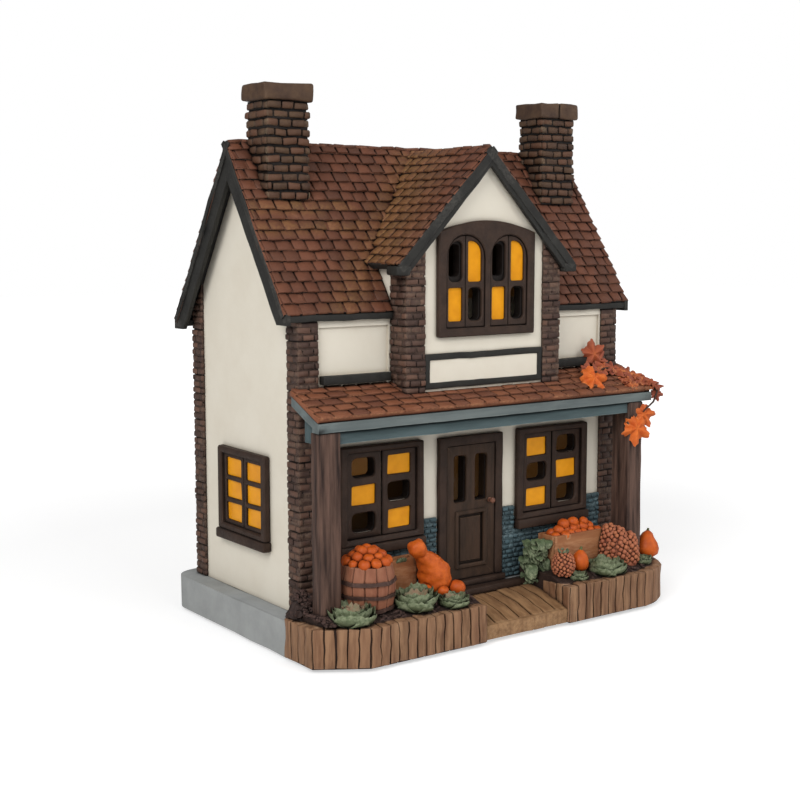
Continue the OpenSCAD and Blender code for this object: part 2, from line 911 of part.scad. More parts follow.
module sign_frame() {
  half = dormer_half - pier_w - eps;
  color("#3f3430") through(dormer_y - brick_out, dormer_y) difference() {
    translate([x_mid - half, floor_z + sign_foot]) square([2 * half, sign_h]);
    sign_outline();
  }
}

module sign_outline() {
  half = dormer_half - pier_w - eps - sign_border;
  translate([x_mid - half, floor_z + sign_foot + sign_border]) square([2 * half, sign_h - 2 * sign_border]);
}

module sign_panel() {
  thick = 0.5;
  color("#d8d2c4") through(dormer_y - thick, dormer_y) sign_outline();
}

// Chimneys
chimney_x1 = x_right - chimney_side;
chimney_y0 = y_ridge + chimney_back - cap_d;
chimney_z = ridge_z + chimney_rise;

module chimney_stack(side) {
  color("#5b4640") mirror_about_middle(side) difference() {
    brick_block(chimney_x1 - cap_w + cap_lip, chimney_x1 - cap_lip, chimney_y0 + cap_lip,
                chimney_y0 + cap_d - cap_lip, over_roof(chimney_y0 + cap_lip), chimney_z - cap_h);
    under_main_roof();
  }
}

module left_chimney_stack() {
  chimney_stack(-1);
}

module right_chimney_stack() {
  chimney_stack(1);
}

module chimney_cap(side) {
  color("#5b4640") mirror_about_middle(side)
    box(chimney_x1 - cap_w, chimney_x1, chimney_y0, chimney_y0 + cap_d, chimney_z - cap_h, chimney_z);
}

module chimney_caps() {
  chimney_cap(-1);
  chimney_cap(1);
}

// Porch
module porch_roof() {
  color("#8a5a45") difference() {
    across(x_left - porch_side, x_right + porch_side)
      polygon(slope_points([y_front, porch_z], -1, porch_d, porch_pitch, porch_t, porch_courses));
    for (side = [-1, 1])
      mirror_about_middle(side) box(
        x_right - pillar_w, x_right + brick_out, y_front - brick_out, y_front, 0, ridge_z
      );
  }
}

// Gutter along the porch roof's edge, with a board of the same height under each sloping end
module porch_gutter() {
  back = porch_lip_y + gutter_d;
  wall = y_front - brick_out - eps;
  board_h = under_porch(porch_lip_y) - gutter_z;
  color("#7d8a8c") {
    across(x_left - porch_side, x_right + porch_side) polygon([
      [porch_edge_y, gutter_z],
      [back, gutter_z],
      [back, under_porch(back)],
      [porch_lip_y, under_porch(porch_lip_y)],
      [porch_edge_y, under_porch(porch_lip_y)]
    ]);
    for (side = [-1, 1])
      mirror_about_middle(side) across(x_right + porch_side - verge_t, x_right + porch_side) polygon([
        [porch_lip_y, gutter_z],
        [wall, under_porch(wall) - board_h],
        [wall, under_porch(wall)],
        [porch_lip_y, under_porch(porch_lip_y)]
      ]);
  }
}

// Short piece of the beam that runs back from a post towards the wall
module beam_return(x0, y0) {
  return_t = 3.5;
  return_d = 6;
  across(x0, x0 + return_t) polygon([
    [y0, beam_z],
    [y0 + return_d, beam_z],
    [y0 + return_d, under_porch(y0 + return_d) - eps],
    [y0, under_porch(y0) - eps]
  ]);
}

// Beam between the posts, a little behind their faces, with a short return behind each post
module porch_beam() {
  beam_y = post_front_y + 1;
  beam_d = left_post_d - 1;
  left_x = x_left - porch_side + verge_t + eps;
  color("#5f7479") {
    box(left_post_x1, right_post_x0, beam_y, beam_y + beam_d, beam_z, gutter_z);
    beam_return(left_x, post_front_y + left_post_d);
    beam_return(right_post_x0, post_front_y + right_post_d);
  }
}

module left_porch_post() {
  color("#5a4644")
    box(left_post_x0, left_post_x1, post_front_y, post_front_y + left_post_d, yard_z, gutter_z);
}

module right_porch_post() {
  color("#5a4644")
    box(right_post_x0, right_post_x1, post_front_y, post_front_y + right_post_d, yard_z, gutter_z);
}

// Windows and door
module window_plate(w, h) {
  difference() {
    translate([-w / 2, 0]) square([w, h]);
    panes(w, h, 2, 3, -1);
  }
}

module front_windows() {
  color("#3f3430") for (side = [-1, 1])
    translate([x_mid + side * window_off, 0, floor_z + window_foot]) {
      through(y_front - frame_out, y_front) window_plate(window_w, window_h);
      box(-window_w / 2, window_w / 2, y_front - sill_out, y_front, -sill_h, 0);
    }
}

// Place of the right gable's window, or of the left one
module on_gable(side) {
  mirror_about_middle(side) translate([x_right, y_ridge, floor_z + window_foot]) children();
}

module side_windows() {
  sill_extra = 2;
  color("#3f3430") for (side = [-1, 1])
    on_gable(side) {
      across(0, frame_out) window_plate(side_window_w, side_window_h);
      box(0, sill_out, -side_window_w / 2 - sill_extra, side_window_w / 2 + sill_extra, -sill_h, 0);
    }
}

module amber_panes() {
  color("#e09a25") {
    for (side = [-1, 1]) {
      translate([x_mid + side * window_off, 0, floor_z + window_foot])
        through(y_front - pane_t, y_front) panes(window_w, window_h, 2, 3, side < 0 ? 1 : 0);
      on_gable(side) across(0, pane_t) panes(side_window_w, side_window_h, 2, 3, -1);
    }
    translate([x_mid, 0, floor_z + arch_foot]) through(dormer_y - pane_t, dormer_y) arch_panes(0);
  }
}

// The door leaf's two open panes
module door_panes() {
  stile = 4;
  leaf_w = door_w - 2 * door_rail;
  pane_w = (leaf_w - 3 * stile) / 2;
  pane_h = door_h * 0.42;
  for (i = [0, 1])
    translate([-leaf_w / 2 + stile + i * (pane_w + stile), door_h - door_rail - stile - pane_h])
      square([pane_w, pane_h]);
}

module door_frame() {
  color("#3f3430") translate([x_mid, 0, floor_z + step_h])
    through(y_front - frame_out, y_front) difference() {
      translate([-door_w / 2, 0]) square([door_w, door_h]);
      translate([-door_w / 2 + door_rail, -1]) square([door_w - 2 * door_rail, door_h - door_rail + 1]);
    }
}

module front_door() {
  leaf_half = door_w / 2 - door_rail;
  knob_z = door_h * 0.44;
  knob_neck = 1;
  color("#4a3a33") translate([x_mid, 0, floor_z + step_h]) {
    through(y_front - door_leaf_t, y_front) difference() {
      translate([-leaf_half, 0]) square([2 * leaf_half, door_h - door_rail]);
      door_panes();
    }
    translate([leaf_half - knob_d / 2 - 0.5, y_front - door_leaf_t, knob_z]) {
      rotate([90, 0, 0]) cylinder(d = knob_d / 2, h = knob_neck + knob_d / 2);
      translate([0, -knob_neck - knob_d / 2, 0]) sphere(d = knob_d);
    }
  }
}

// Produce, each piece drawn round [0, 0] and standing at z = 0
function pumpkin_points(r, h) = concat(
  [[0, 0]],
  [for (a = [-80 : 20 : 80]) [r * (0.35 + 0.65 * cos(a)), h / 2 + h / 2 * sin(a)]],
  [[0, h]]
);

module pumpkin(r, h) {
  rotate_extrude() polygon(pumpkin_points(r, h));
}

// Heap of three pumpkins with a smaller one on top, inside a circle
module pumpkin_heap(r) {
  each_r = r * 0.46;
  for (a = [90, 210, 330]) rotate([0, 0, a]) translate([r - each_r, 0, 0]) pumpkin(each_r, each_r * 1.3);
  translate([0, 0, each_r * 1.3]) pumpkin(each_r, each_r * 1.2);
}

barrel_x = yard_x(-0.73);
barrel_y = y_front - sill_out - barrel_gap - barrel_d / 2;
rim_r = barrel_d * 0.44;

module barrel() {
  hoop = 0.5;
  middle = barrel_h / 2;
  color("#8a6a5c") translate([barrel_x, barrel_y, soil_z]) rotate_extrude() polygon([
    [0, 0], [rim_r, 0], [barrel_d / 2 - hoop, middle * 0.7], [barrel_d / 2, middle * 0.7],
    [barrel_d / 2, middle * 1.3], [barrel_d / 2 - hoop, middle * 1.3], [rim_r, barrel_h], [0, barrel_h]
  ]);
}

// A crate with a sunk top
module crate(w, d, h) {
  difference() {
    translate([0, -d / 2, 0]) cube([w, d, h]);
    translate([crate_rim, -d / 2 + crate_rim, h - crate_sunk])
      cube([w - 2 * crate_rim, d - 2 * crate_rim, h]);
  }
}

crate_x = yard_x(0.403);
crate_y = yard_y(0.319);

module crates() {
  small_w = crate_w * 0.53;
  small_d = crate_d * 0.54;
  color("#a5785c") {
    translate([crate_x, crate_y, soil_z]) crate(crate_w, crate_d, crate_h);
    translate([yard_x(-0.583), yard_y(0.188), soil_z]) crate(small_w, small_d, crate_h);
  }
}

function egg_points(r, h) = concat(
  [[0, 0]],
  [for (a = [-75 : 15 : 75]) [r * cos(a), h / 2 + h / 2 * sin(a)]],
  [[0, h]]
);

// Gourd with an egg-shaped body and a bent neck that ends in a round head
module crookneck() {
  tall = 1.22;
  body = [0, 0, gourd_r * tall];
  shoulder = [-gourd_r * 1.1, 0, gourd_r * 2.67];
  head = [-gourd_r * 1.88, 0, gourd_r * 3.53];
  rotate_extrude() polygon(egg_points(gourd_r, 2 * gourd_r * tall));
  gourd_neck(body, shoulder, gourd_r * 0.36);
  translate(shoulder) sphere(gourd_r * 0.45);
  gourd_neck(shoulder, head, gourd_r * 0.34);
  translate(head) sphere(gourd_r * 0.56);
}

// A round bar between two points
module gourd_neck(from, to, r) {
  translate(from) aim(to - from) cylinder(r = r, h = norm(to - from));
}

// Turns +Z towards a direction
module aim(v) {
  rotate([0, acos(v[2] / norm(v)), atan2(v[1], v[0])]) children();
}

module pear_gourd(r) {
  rotate_extrude() polygon([
    [0, 0], [r * 0.6, 0.1 * r], [r, 0.8 * r], [r * 0.9, 1.3 * r],
    [r * 0.5, 1.9 * r], [r * 0.35, 2.4 * r], [0, 2.6 * r]
  ]);
}

module mound(r, h) {
  rotate_extrude() polygon([
    [0, 0], [r, 0], [r * 0.95, h * 0.3], [r * 0.75, h * 0.65], [r * 0.4, h * 0.92], [0, h]
  ]);
}

// A dome that grows out of the soil at two shares of the yard, lifted by a share of the soil's rise
module on_ground(x, y, lift) {
  difference() {
    translate([yard_x(x), yard_y(y), floor_z + lift * soil_rise]) children();
    planted_ground();
  }
}

module barrel_pumpkins() {
  color("#c8702a") translate([barrel_x, barrel_y, soil_z + barrel_h]) pumpkin_heap(rim_r);
}

module crate_fruit() {
  fruit_gap = 0.1;
  pitch_x = 2 * fruit_r + fruit_gap;
  count = floor((crate_w - 2 * crate_rim) / pitch_x);
  color("#c8702a") translate([crate_x + crate_w / 2, crate_y, soil_z + crate_h - crate_sunk + fruit_r])
    for (i = [0 : count - 1]) translate([(i - (count - 1) / 2) * pitch_x, 0, 0]) sphere(fruit_r);
}

module crookneck_gourd() {
  color("#c89a4a") translate([yard_x(-0.327), yard_y(0.406), soil_z]) crookneck();
}

module cabbages() {
  color("#6f8a3c") difference() {
    union() {
      on_ground(-0.876, 0.696, 0.5) sphere(cabbage_r);
      on_ground(-0.525, 0.681, 1) sphere(cabbage_r * 0.8);
      on_ground(-0.339, 0.791, 0.75) sphere(cabbage_r * 0.6);
      on_ground(0.667, 0.768, 0) mound(cabbage_r * 0.58, cabbage_r * 1.1);
    }
    left_porch_post();
    barrel();
  }
}

// Small pumpkin, egg and pear gourds, the studded cone and the berry mound
module loose_gourds() {
  color("#c8702a") {
    translate([yard_x(-0.258), yard_y(0.614), soil_z]) pumpkin(pumpkin_r, pumpkin_r * 1.47);
    on_ground(0.508, 0.667, 1) rotate_extrude() polygon(egg_points(egg_r, egg_r * 2.6));
    on_ground(0.39, 0.681, 0) mound(cone_r, cone_r * 2.4);
    on_ground(0.802, 0.725, 0) mound(berry_r, berry_r * 3.1);
    on_ground(1.056, 0.507, 1) pear_gourd(pear_r);
  }
}

// Maple leaf outline of about the given height, with five pointed lobes
module leaf_outline(size) {
  lobes = [for (a = [-20, 35, 90, 145, 200]) a];
  reach = size * 0.5;
  notch = size * 0.24;
  polygon(concat(
    [[0, -reach * 0.6]],
    [for (i = [0 : 4]) each [
      reach * [cos(lobes[i]), sin(lobes[i])],
      if (i < 4) notch * [cos(lobes[i] + 27.5), sin(lobes[i] + 27.5)]
    ]]
  ));
}

// A leaf lying on the porch roof, at shares of half the planted width and of the roof's depth
module roof_leaf(x, y, size, turn) {
  leaf_y = y_front - y * porch_d;
  translate([yard_x(x), leaf_y, over_porch(leaf_y)]) rotate([porch_pitch, 0, 0])
    rotate([0, 0, turn]) linear_extrude(leaf_t) leaf_outline(size);
}

module leaf_spray() {
  hang_x = x_right - leaf_size * 0.75;
  stalk_x0 = hang_x - leaf_t / 2;
  stalk_x1 = hang_x + leaf_t / 2;
  hang_y = porch_edge_y - leaf_t - eps;
  color("#a8552c") {
    roof_leaf(0.678, 0.667, leaf_size, 200);
    roof_leaf(0.814, 0.31, leaf_size * 0.92, 20);
    roof_leaf(0.949, 0.69, leaf_size * 0.92, 140);
    translate([hang_x, 0, gutter_z - leaf_size * 0.9]) through(hang_y, hang_y + leaf_t)
      rotate(180) leaf_outline(leaf_size * 1.3);
    box(stalk_x0, stalk_x1, hang_y, hang_y + leaf_t, gutter_z - leaf_size * 0.6, gutter_z + leaf_t);
    box(stalk_x0, stalk_x1, hang_y, porch_edge_y, gutter_z + eps, over_porch(porch_edge_y) + leaf_t);
  }
}

// Lamp and batteries
module battery_box() {
  color("#2b2b2b") difference() {
    box(box_x0, box_x0 + box_w, box_y, y_back, box_z, box_z + box_h);
    box(bay_x0, bay_x0 + bay_w, box_y + box_wall, y_back + 1, bay_z, bay_z + bay_h);
    translate([boss_x, y_back + 1, boss_z]) rotate([90, 0, 0])
      cylinder(d = screw_d + 2 * screw_clear, h = screw_grip + 2);
  }
}

module battery() {
  button_d = 3.8;
  button_h = 1;
  rotate([0, 90, 0]) {
    translate([0, 0, -cell_l / 2]) cylinder(d = cell_d, h = cell_l - button_h);
    translate([0, 0, -cell_l / 2]) cylinder(d = button_d, h = cell_l);
  }
}

module batteries() {
  cell_y = box_y + box_wall + cell_d / 2 + 0.2;
  color("#a8adb0") for (i = [0, 1])
    translate([bay_x0 + bay_w / 2, cell_y, bay_z + bay_h / 2 + (i - 0.5) * (cell_d + 0.4)])
      rotate([0, 0, i * 180]) battery();
}

// Leaf contacts, one bent strip at each end of each battery
module battery_contacts() {
  strip_t = 0.4;
  strip_h = 6;
  bow = contact_room - strip_t;
  y0 = box_y + box_wall + 1;
  y1 = y0 + cell_d - 2;
  color("#b9a26a") for (end = [-1, 1], row = [0, 1])
    translate([bay_x0 + bay_w / 2, 0, bay_z + bay_h / 2 + (row - 0.5) * (cell_d + 0.4) - strip_h / 2])
      mirror([end < 0 ? 1 : 0, 0, 0]) linear_extrude(strip_h) polygon([
        [bay_w / 2, y0], [bay_w / 2 - bow, (y0 + y1) / 2], [bay_w / 2, y1],
        [bay_w / 2, y1 - 2 * strip_t],
        [bay_w / 2 - bow + 2 * strip_t, (y0 + y1) / 2],
        [bay_w / 2, y0 + 2 * strip_t]
      ]);
}

head_d = 2 * screw_d;
head_h = cover_t / 2;

module battery_cover() {
  color("#d8d2c4") difference() {
    box(box_x0 - cover_lip, box_x0 + box_w + cover_lip, y_back + eps, y_back + eps + cover_t,
        box_z - cover_lip, box_z + box_h + cover_lip);
    translate([boss_x, y_back - 1, boss_z]) rotate([-90, 0, 0])
      cylinder(d = screw_d + 2 * screw_clear, h = cover_t + 2);
    translate([boss_x, y_back + eps + cover_t - head_h, boss_z]) rotate([-90, 0, 0])
      cylinder(d = head_d + 4 * screw_clear, h = head_h + 1);
  }
}

module cover_screw() {
  seat_gap = 0.05;
  slot_w = 0.7;
  top_y = y_back + eps + cover_t;
  color("silver") difference() {
    translate([boss_x, 0, boss_z]) {
      translate([0, y_back - screw_grip, 0]) rotate([-90, 0, 0])
        cylinder(d = screw_d, h = screw_grip + cover_t);
      translate([0, top_y - head_h + seat_gap, 0]) rotate([-90, 0, 0])
        cylinder(d = head_d, h = head_h);
    }
    box(
      boss_x - slot_w / 2, boss_x + slot_w / 2, top_y - head_h / 2, top_y + 1,
      boss_z - head_d, boss_z + head_d
    );
  }
}

// Slot that the switch knob slides in
module switch_slot(y0, y1) {
  half_w = (switch_knob + switch_travel) / 2 + switch_clear;
  half_h = switch_knob / 2 + switch_clear;
  box(switch_x - half_w, switch_x + half_w, y0, y1, switch_z - half_h, switch_z + half_h);
}

switch_wall = 2;
switch_root_y = y_back - wall_t - 4;

module switch_body() {
  half_w = (switch_knob + switch_travel) / 2 + switch_clear + switch_wall;
  half_h = switch_knob / 2 + switch_clear + switch_wall;
  face_y = y_back - wall_t;
  color("#2b2b2b") difference() {
    box(switch_x - half_w, switch_x + half_w, switch_root_y - switch_wall, face_y,
        switch_z - half_h, switch_z + half_h);
    switch_slot(switch_root_y, face_y + 1);
  }
}

module switch_slider() {
  reach = 2;
  color("#1f1f1f") box(
    switch_x - switch_knob / 2 - switch_travel / 2, switch_x + switch_knob / 2 - switch_travel / 2,
    switch_root_y + switch_clear, y_back + reach, switch_z - switch_knob / 2, switch_z + switch_knob / 2
  );
}

// Lamp on its board, and the two wires that lead to the battery box
board_w = 18;
board_z = floor_z + 1.6;
lamp_y = y_ridge - 5;

module lamp_board() {
  color("#2f6b3a") box(x_mid - board_w / 2, x_mid + board_w / 2, lamp_y - board_w / 2, lamp_y + board_w / 2,
                       floor_z, board_z);
}

module lamp() {
  body_h = 7;
  color("#f2e2b0") translate([x_mid, lamp_y, board_z]) {
    cylinder(d = lamp_d, h = body_h);
    translate([0, 0, body_h]) sphere(d = lamp_d);
  }
}

module lamp_wires() {
  rise = box_z + box_h / 2 - board_z;
  start_y = lamp_y + board_w / 2 - wire_d;
  color("#8a2a22") for (side = [-1, 1])
    translate([x_mid + side * 2 * wire_d, start_y, board_z]) {
      cylinder(d = wire_d, h = rise);
      translate([0, 0, rise]) sphere(d = wire_d);
      translate([0, 0, rise]) rotate([-90, 0, 0]) cylinder(d = wire_d, h = box_y - start_y);
    }
}

base_plinth();
rubber_feet();
soil_beds();
left_fence();
right_fence();
walkway();
door_step();
front_wall();
back_wall();
left_gable_wall();
right_gable_wall();
front_pillars();
back_pillars();
porch_wainscot();
upper_sills();
front_left_roof();
front_right_roof();
back_roof();
gable_barge_boards();
eave_boards();
dormer_walls();
dormer_left_pier();
dormer_right_pier();
dormer_left_roof();
dormer_right_roof();
dormer_barge_boards();
dormer_window();
sign_frame();
sign_panel();
left_chimney_stack();
right_chimney_stack();
chimney_caps();
porch_roof();
porch_gutter();
porch_beam();
left_porch_post();
right_porch_post();
front_windows();
side_windows();
amber_panes();
door_frame();
front_door();
barrel();
barrel_pumpkins();
crates();
crate_fruit();
crookneck_gourd();
cabbages();
loose_gourds();
leaf_spray();
battery_box();
batteries();
battery_contacts();
battery_cover();
cover_screw();
switch_body();
switch_slider();
lamp_board();
lamp();
lamp_wires();
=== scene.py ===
# %% [markdown]
# # A harvest cottage of painted resin
# The real figurine is a hollow resin casting with every tile, brick and pumpkin sculpted into it, painted
# by hand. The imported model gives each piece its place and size. This lesson lays the tiles and bricks
# over those solids one by one, rounds the trim as a sculptor's tool would, and mixes the paints.

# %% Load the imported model
import math
import random

import bmesh
import bpy
from mathutils import Matrix, Vector, noise


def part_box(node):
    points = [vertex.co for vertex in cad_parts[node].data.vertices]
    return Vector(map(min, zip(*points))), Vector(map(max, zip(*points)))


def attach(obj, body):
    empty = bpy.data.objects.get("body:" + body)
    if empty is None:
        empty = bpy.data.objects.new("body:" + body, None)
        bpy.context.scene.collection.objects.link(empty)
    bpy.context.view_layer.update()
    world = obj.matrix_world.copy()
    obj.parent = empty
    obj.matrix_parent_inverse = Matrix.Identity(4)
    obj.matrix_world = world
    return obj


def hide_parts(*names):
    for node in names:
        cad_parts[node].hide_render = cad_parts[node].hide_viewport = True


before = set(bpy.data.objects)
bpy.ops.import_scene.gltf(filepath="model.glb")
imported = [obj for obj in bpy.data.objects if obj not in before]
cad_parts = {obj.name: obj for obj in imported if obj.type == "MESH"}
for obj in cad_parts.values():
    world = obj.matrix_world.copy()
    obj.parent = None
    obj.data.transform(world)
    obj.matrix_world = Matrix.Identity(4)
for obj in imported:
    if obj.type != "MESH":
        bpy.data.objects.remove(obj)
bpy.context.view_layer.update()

# %% [markdown]
# ## Measures
# Everything below is thought of in millimetres and turned into metres once, when a piece is finished. The
# main places come from the solids' own boxes, so the pieces stay with the model if a size changes.

# %% Read the main places from the solids
MM = 0.001
chance = random.Random(31)
# Without a seed, noise vectors are offset by the clock and differ on every run
noise.seed_set(31)


def span(node):
    """Lowest and highest corner of a CAD node, in millimetres."""
    low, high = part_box(node)
    return Vector(low) / MM, Vector(high) / MM


wall_low = span("front_wall")[0]
gable_left_x = span("left_gable_wall")[0].x
gable_right_x = span("right_gable_wall")[1].x
front_y = wall_low.y
back_y = span("back_wall")[1].y
ridge_y = (front_y + back_y) / 2
middle_x = (gable_left_x + gable_right_x) / 2
floor_z = wall_low.z
yard_front = span("left_fence")[0].y
yard_depth = front_y - yard_front
bed_margin = 8
yard_half = (span("right_fence")[1].x - span("left_fence")[0].x) / 2 - bed_margin
soil_z = span("soil_beds")[1].z
print("middle", round(middle_x, 2), "front", round(front_y, 2))
print("ridge", round(ridge_y, 2), "floor", round(floor_z, 2))

# %% [markdown]
# ## Camera
# The photo's straight edges fix the viewpoint: a little left of the corner, slightly above the porch
# roof, with a portrait lens. The object is small, so the near clipping distance is small too.

# %% Place the camera


def add_object(name, data):
    """A new object of the scene that shows some data."""
    thing = bpy.data.objects.new(name, data)
    bpy.context.scene.collection.objects.link(thing)
    return thing


def aim(thing, target):
    """Turns a camera or a lamp towards a point."""
    thing.rotation_euler = (target - thing.location).to_track_quat("-Z", "Y").to_euler()


camera_data = bpy.data.cameras.new("photo_camera")
camera_data.lens = 60.2
camera_data.sensor_width = 36
camera_data.clip_start = 0.01
camera = add_object("photo_camera", camera_data)
camera.location = Vector((-361.5, -474.3, 167.6)) * MM
aim(camera, Vector((5.4, 30.7, 90.3)) * MM)
bpy.context.scene.camera = camera
bpy.context.scene.view_settings.view_transform = "Standard"
print("camera at", [round(value, 3) for value in camera.location])

# %% [markdown]
# ## Colours and nodes
# Paint colours are written as they look on a screen and turned linear for the renderer. One function adds
# a node, so that each material below reads as a list of layers.

# %% Colour and node helpers


def srgb(text):
    """Linear RGBA of an sRGB hex colour."""
    channels = [int(text[i:i + 2], 16) / 255 for i in (0, 2, 4)]
    linear = [c / 12.92 if c <= 0.04045 else ((c + 0.055) / 1.055) ** 2.4 for c in channels]
    return (*linear, 1.0)


def add_node(tree, kind, values=None, links=None, **settings):
    """Adds a node, sets its properties and inputs, and links sockets into it."""
    node = tree.nodes.new(kind)
    for name, value in settings.items():
        setattr(node, name, value)
    for name, value in (values or {}).items():
        node.inputs[name].default_value = value
    for name, socket in (links or {}).items():
        tree.links.new(socket, node.inputs[name])
    return node


def new_material(name):
    """An empty node material and its tree."""
    material = bpy.data.materials.new(name)
    material.use_nodes = True
    material.node_tree.nodes.clear()
    return material, material.node_tree


# %% [markdown]
# ## Studio
# A white floor runs up to a white world. What the camera sees of both is plain white, while the light
# that reaches the object stays at a level where paint renders about as it is mixed. The floor still
# darkens where the cottage shades it.

# %% Build the floor, the world and the lamps


def seen_directly(tree):
    """1 on rays that show a surface to the eye, straight or through glass."""
    rays = add_node(tree, "ShaderNodeLightPath")
    either = add_node(tree, "ShaderNodeMath", operation="MAXIMUM")
    tree.links.new(rays.outputs["Is Camera Ray"], either.inputs[0])
    tree.links.new(rays.outputs["Is Transmission Ray"], either.inputs[1])
    return either.outputs[0]


world = bpy.data.worlds.new("studio_world")
bpy.context.scene.world = world
world.use_nodes = True
sky = world.node_tree
sky.nodes.clear()
room = add_node(sky, "ShaderNodeBackground", {"Color": srgb("ffffff"), "Strength": 0.36})
card = add_node(sky, "ShaderNodeBackground", {"Color": srgb("ffffff"), "Strength": 1.0})
sky_mix = add_node(sky, "ShaderNodeMixShader",
                   links={0: seen_directly(sky), 1: room.outputs[0], 2: card.outputs[0]})
add_node(sky, "ShaderNodeOutputWorld", links={"Surface": sky_mix.outputs[0]})

paper, tree = new_material("white_card_studio_floor")
matt = add_node(tree, "ShaderNodeBsdfDiffuse", {"Color": srgb("f4f4f4")})
faint = add_node(tree, "ShaderNodeBsdfDiffuse", {"Color": srgb("d0d0d0")})
spot = add_node(tree, "ShaderNodeNewGeometry")
away = add_node(tree, "ShaderNodeVectorMath", links={0: spot.outputs["Position"]}, operation="LENGTH")
fade = add_node(tree, "ShaderNodeMapRange",
                {"From Min": 0.25, "From Max": 0.9, "To Min": 0.54, "To Max": 0.95},
                {"Value": away.outputs["Value"]})
lift = add_node(tree, "ShaderNodeEmission", {"Color": srgb("ffffff")}, {"Strength": fade.outputs[0]})
shown = add_node(tree, "ShaderNodeAddShader", links={0: faint.outputs[0], 1: lift.outputs[0]})
floor_mix = add_node(tree, "ShaderNodeMixShader",
                     links={0: seen_directly(tree), 1: matt.outputs[0], 2: shown.outputs[0]})
add_node(tree, "ShaderNodeOutputMaterial", links={"Surface": floor_mix.outputs[0]})

floor_bm = bmesh.new()
bmesh.ops.create_grid(floor_bm, x_segments=1, y_segments=1, size=3)
floor_mesh = bpy.data.meshes.new("studio_floor")
floor_bm.to_mesh(floor_mesh)
floor_bm.free()
floor_mesh.materials.append(paper)
studio_floor = add_object("studio_floor", floor_mesh)

softbox_size = 0.6
cottage_middle = Vector((0, 0, 0.1))
for lamp_name, place, watts in (
    ("key_softbox", (-0.95, -0.55, 0.8), 9.8),
    ("front_softbox", (0.1, -1.1, 0.75), 4.4),
    ("right_softbox", (0.9, -0.5, 0.6), 2.2),
):
    lamp_data = bpy.data.lights.new(lamp_name, "AREA")
    lamp_data.size = softbox_size
    lamp_data.energy = watts
    lamp = add_object(lamp_name, lamp_data)
    lamp.location = place
    aim(lamp, cottage_middle)
print("studio ready")
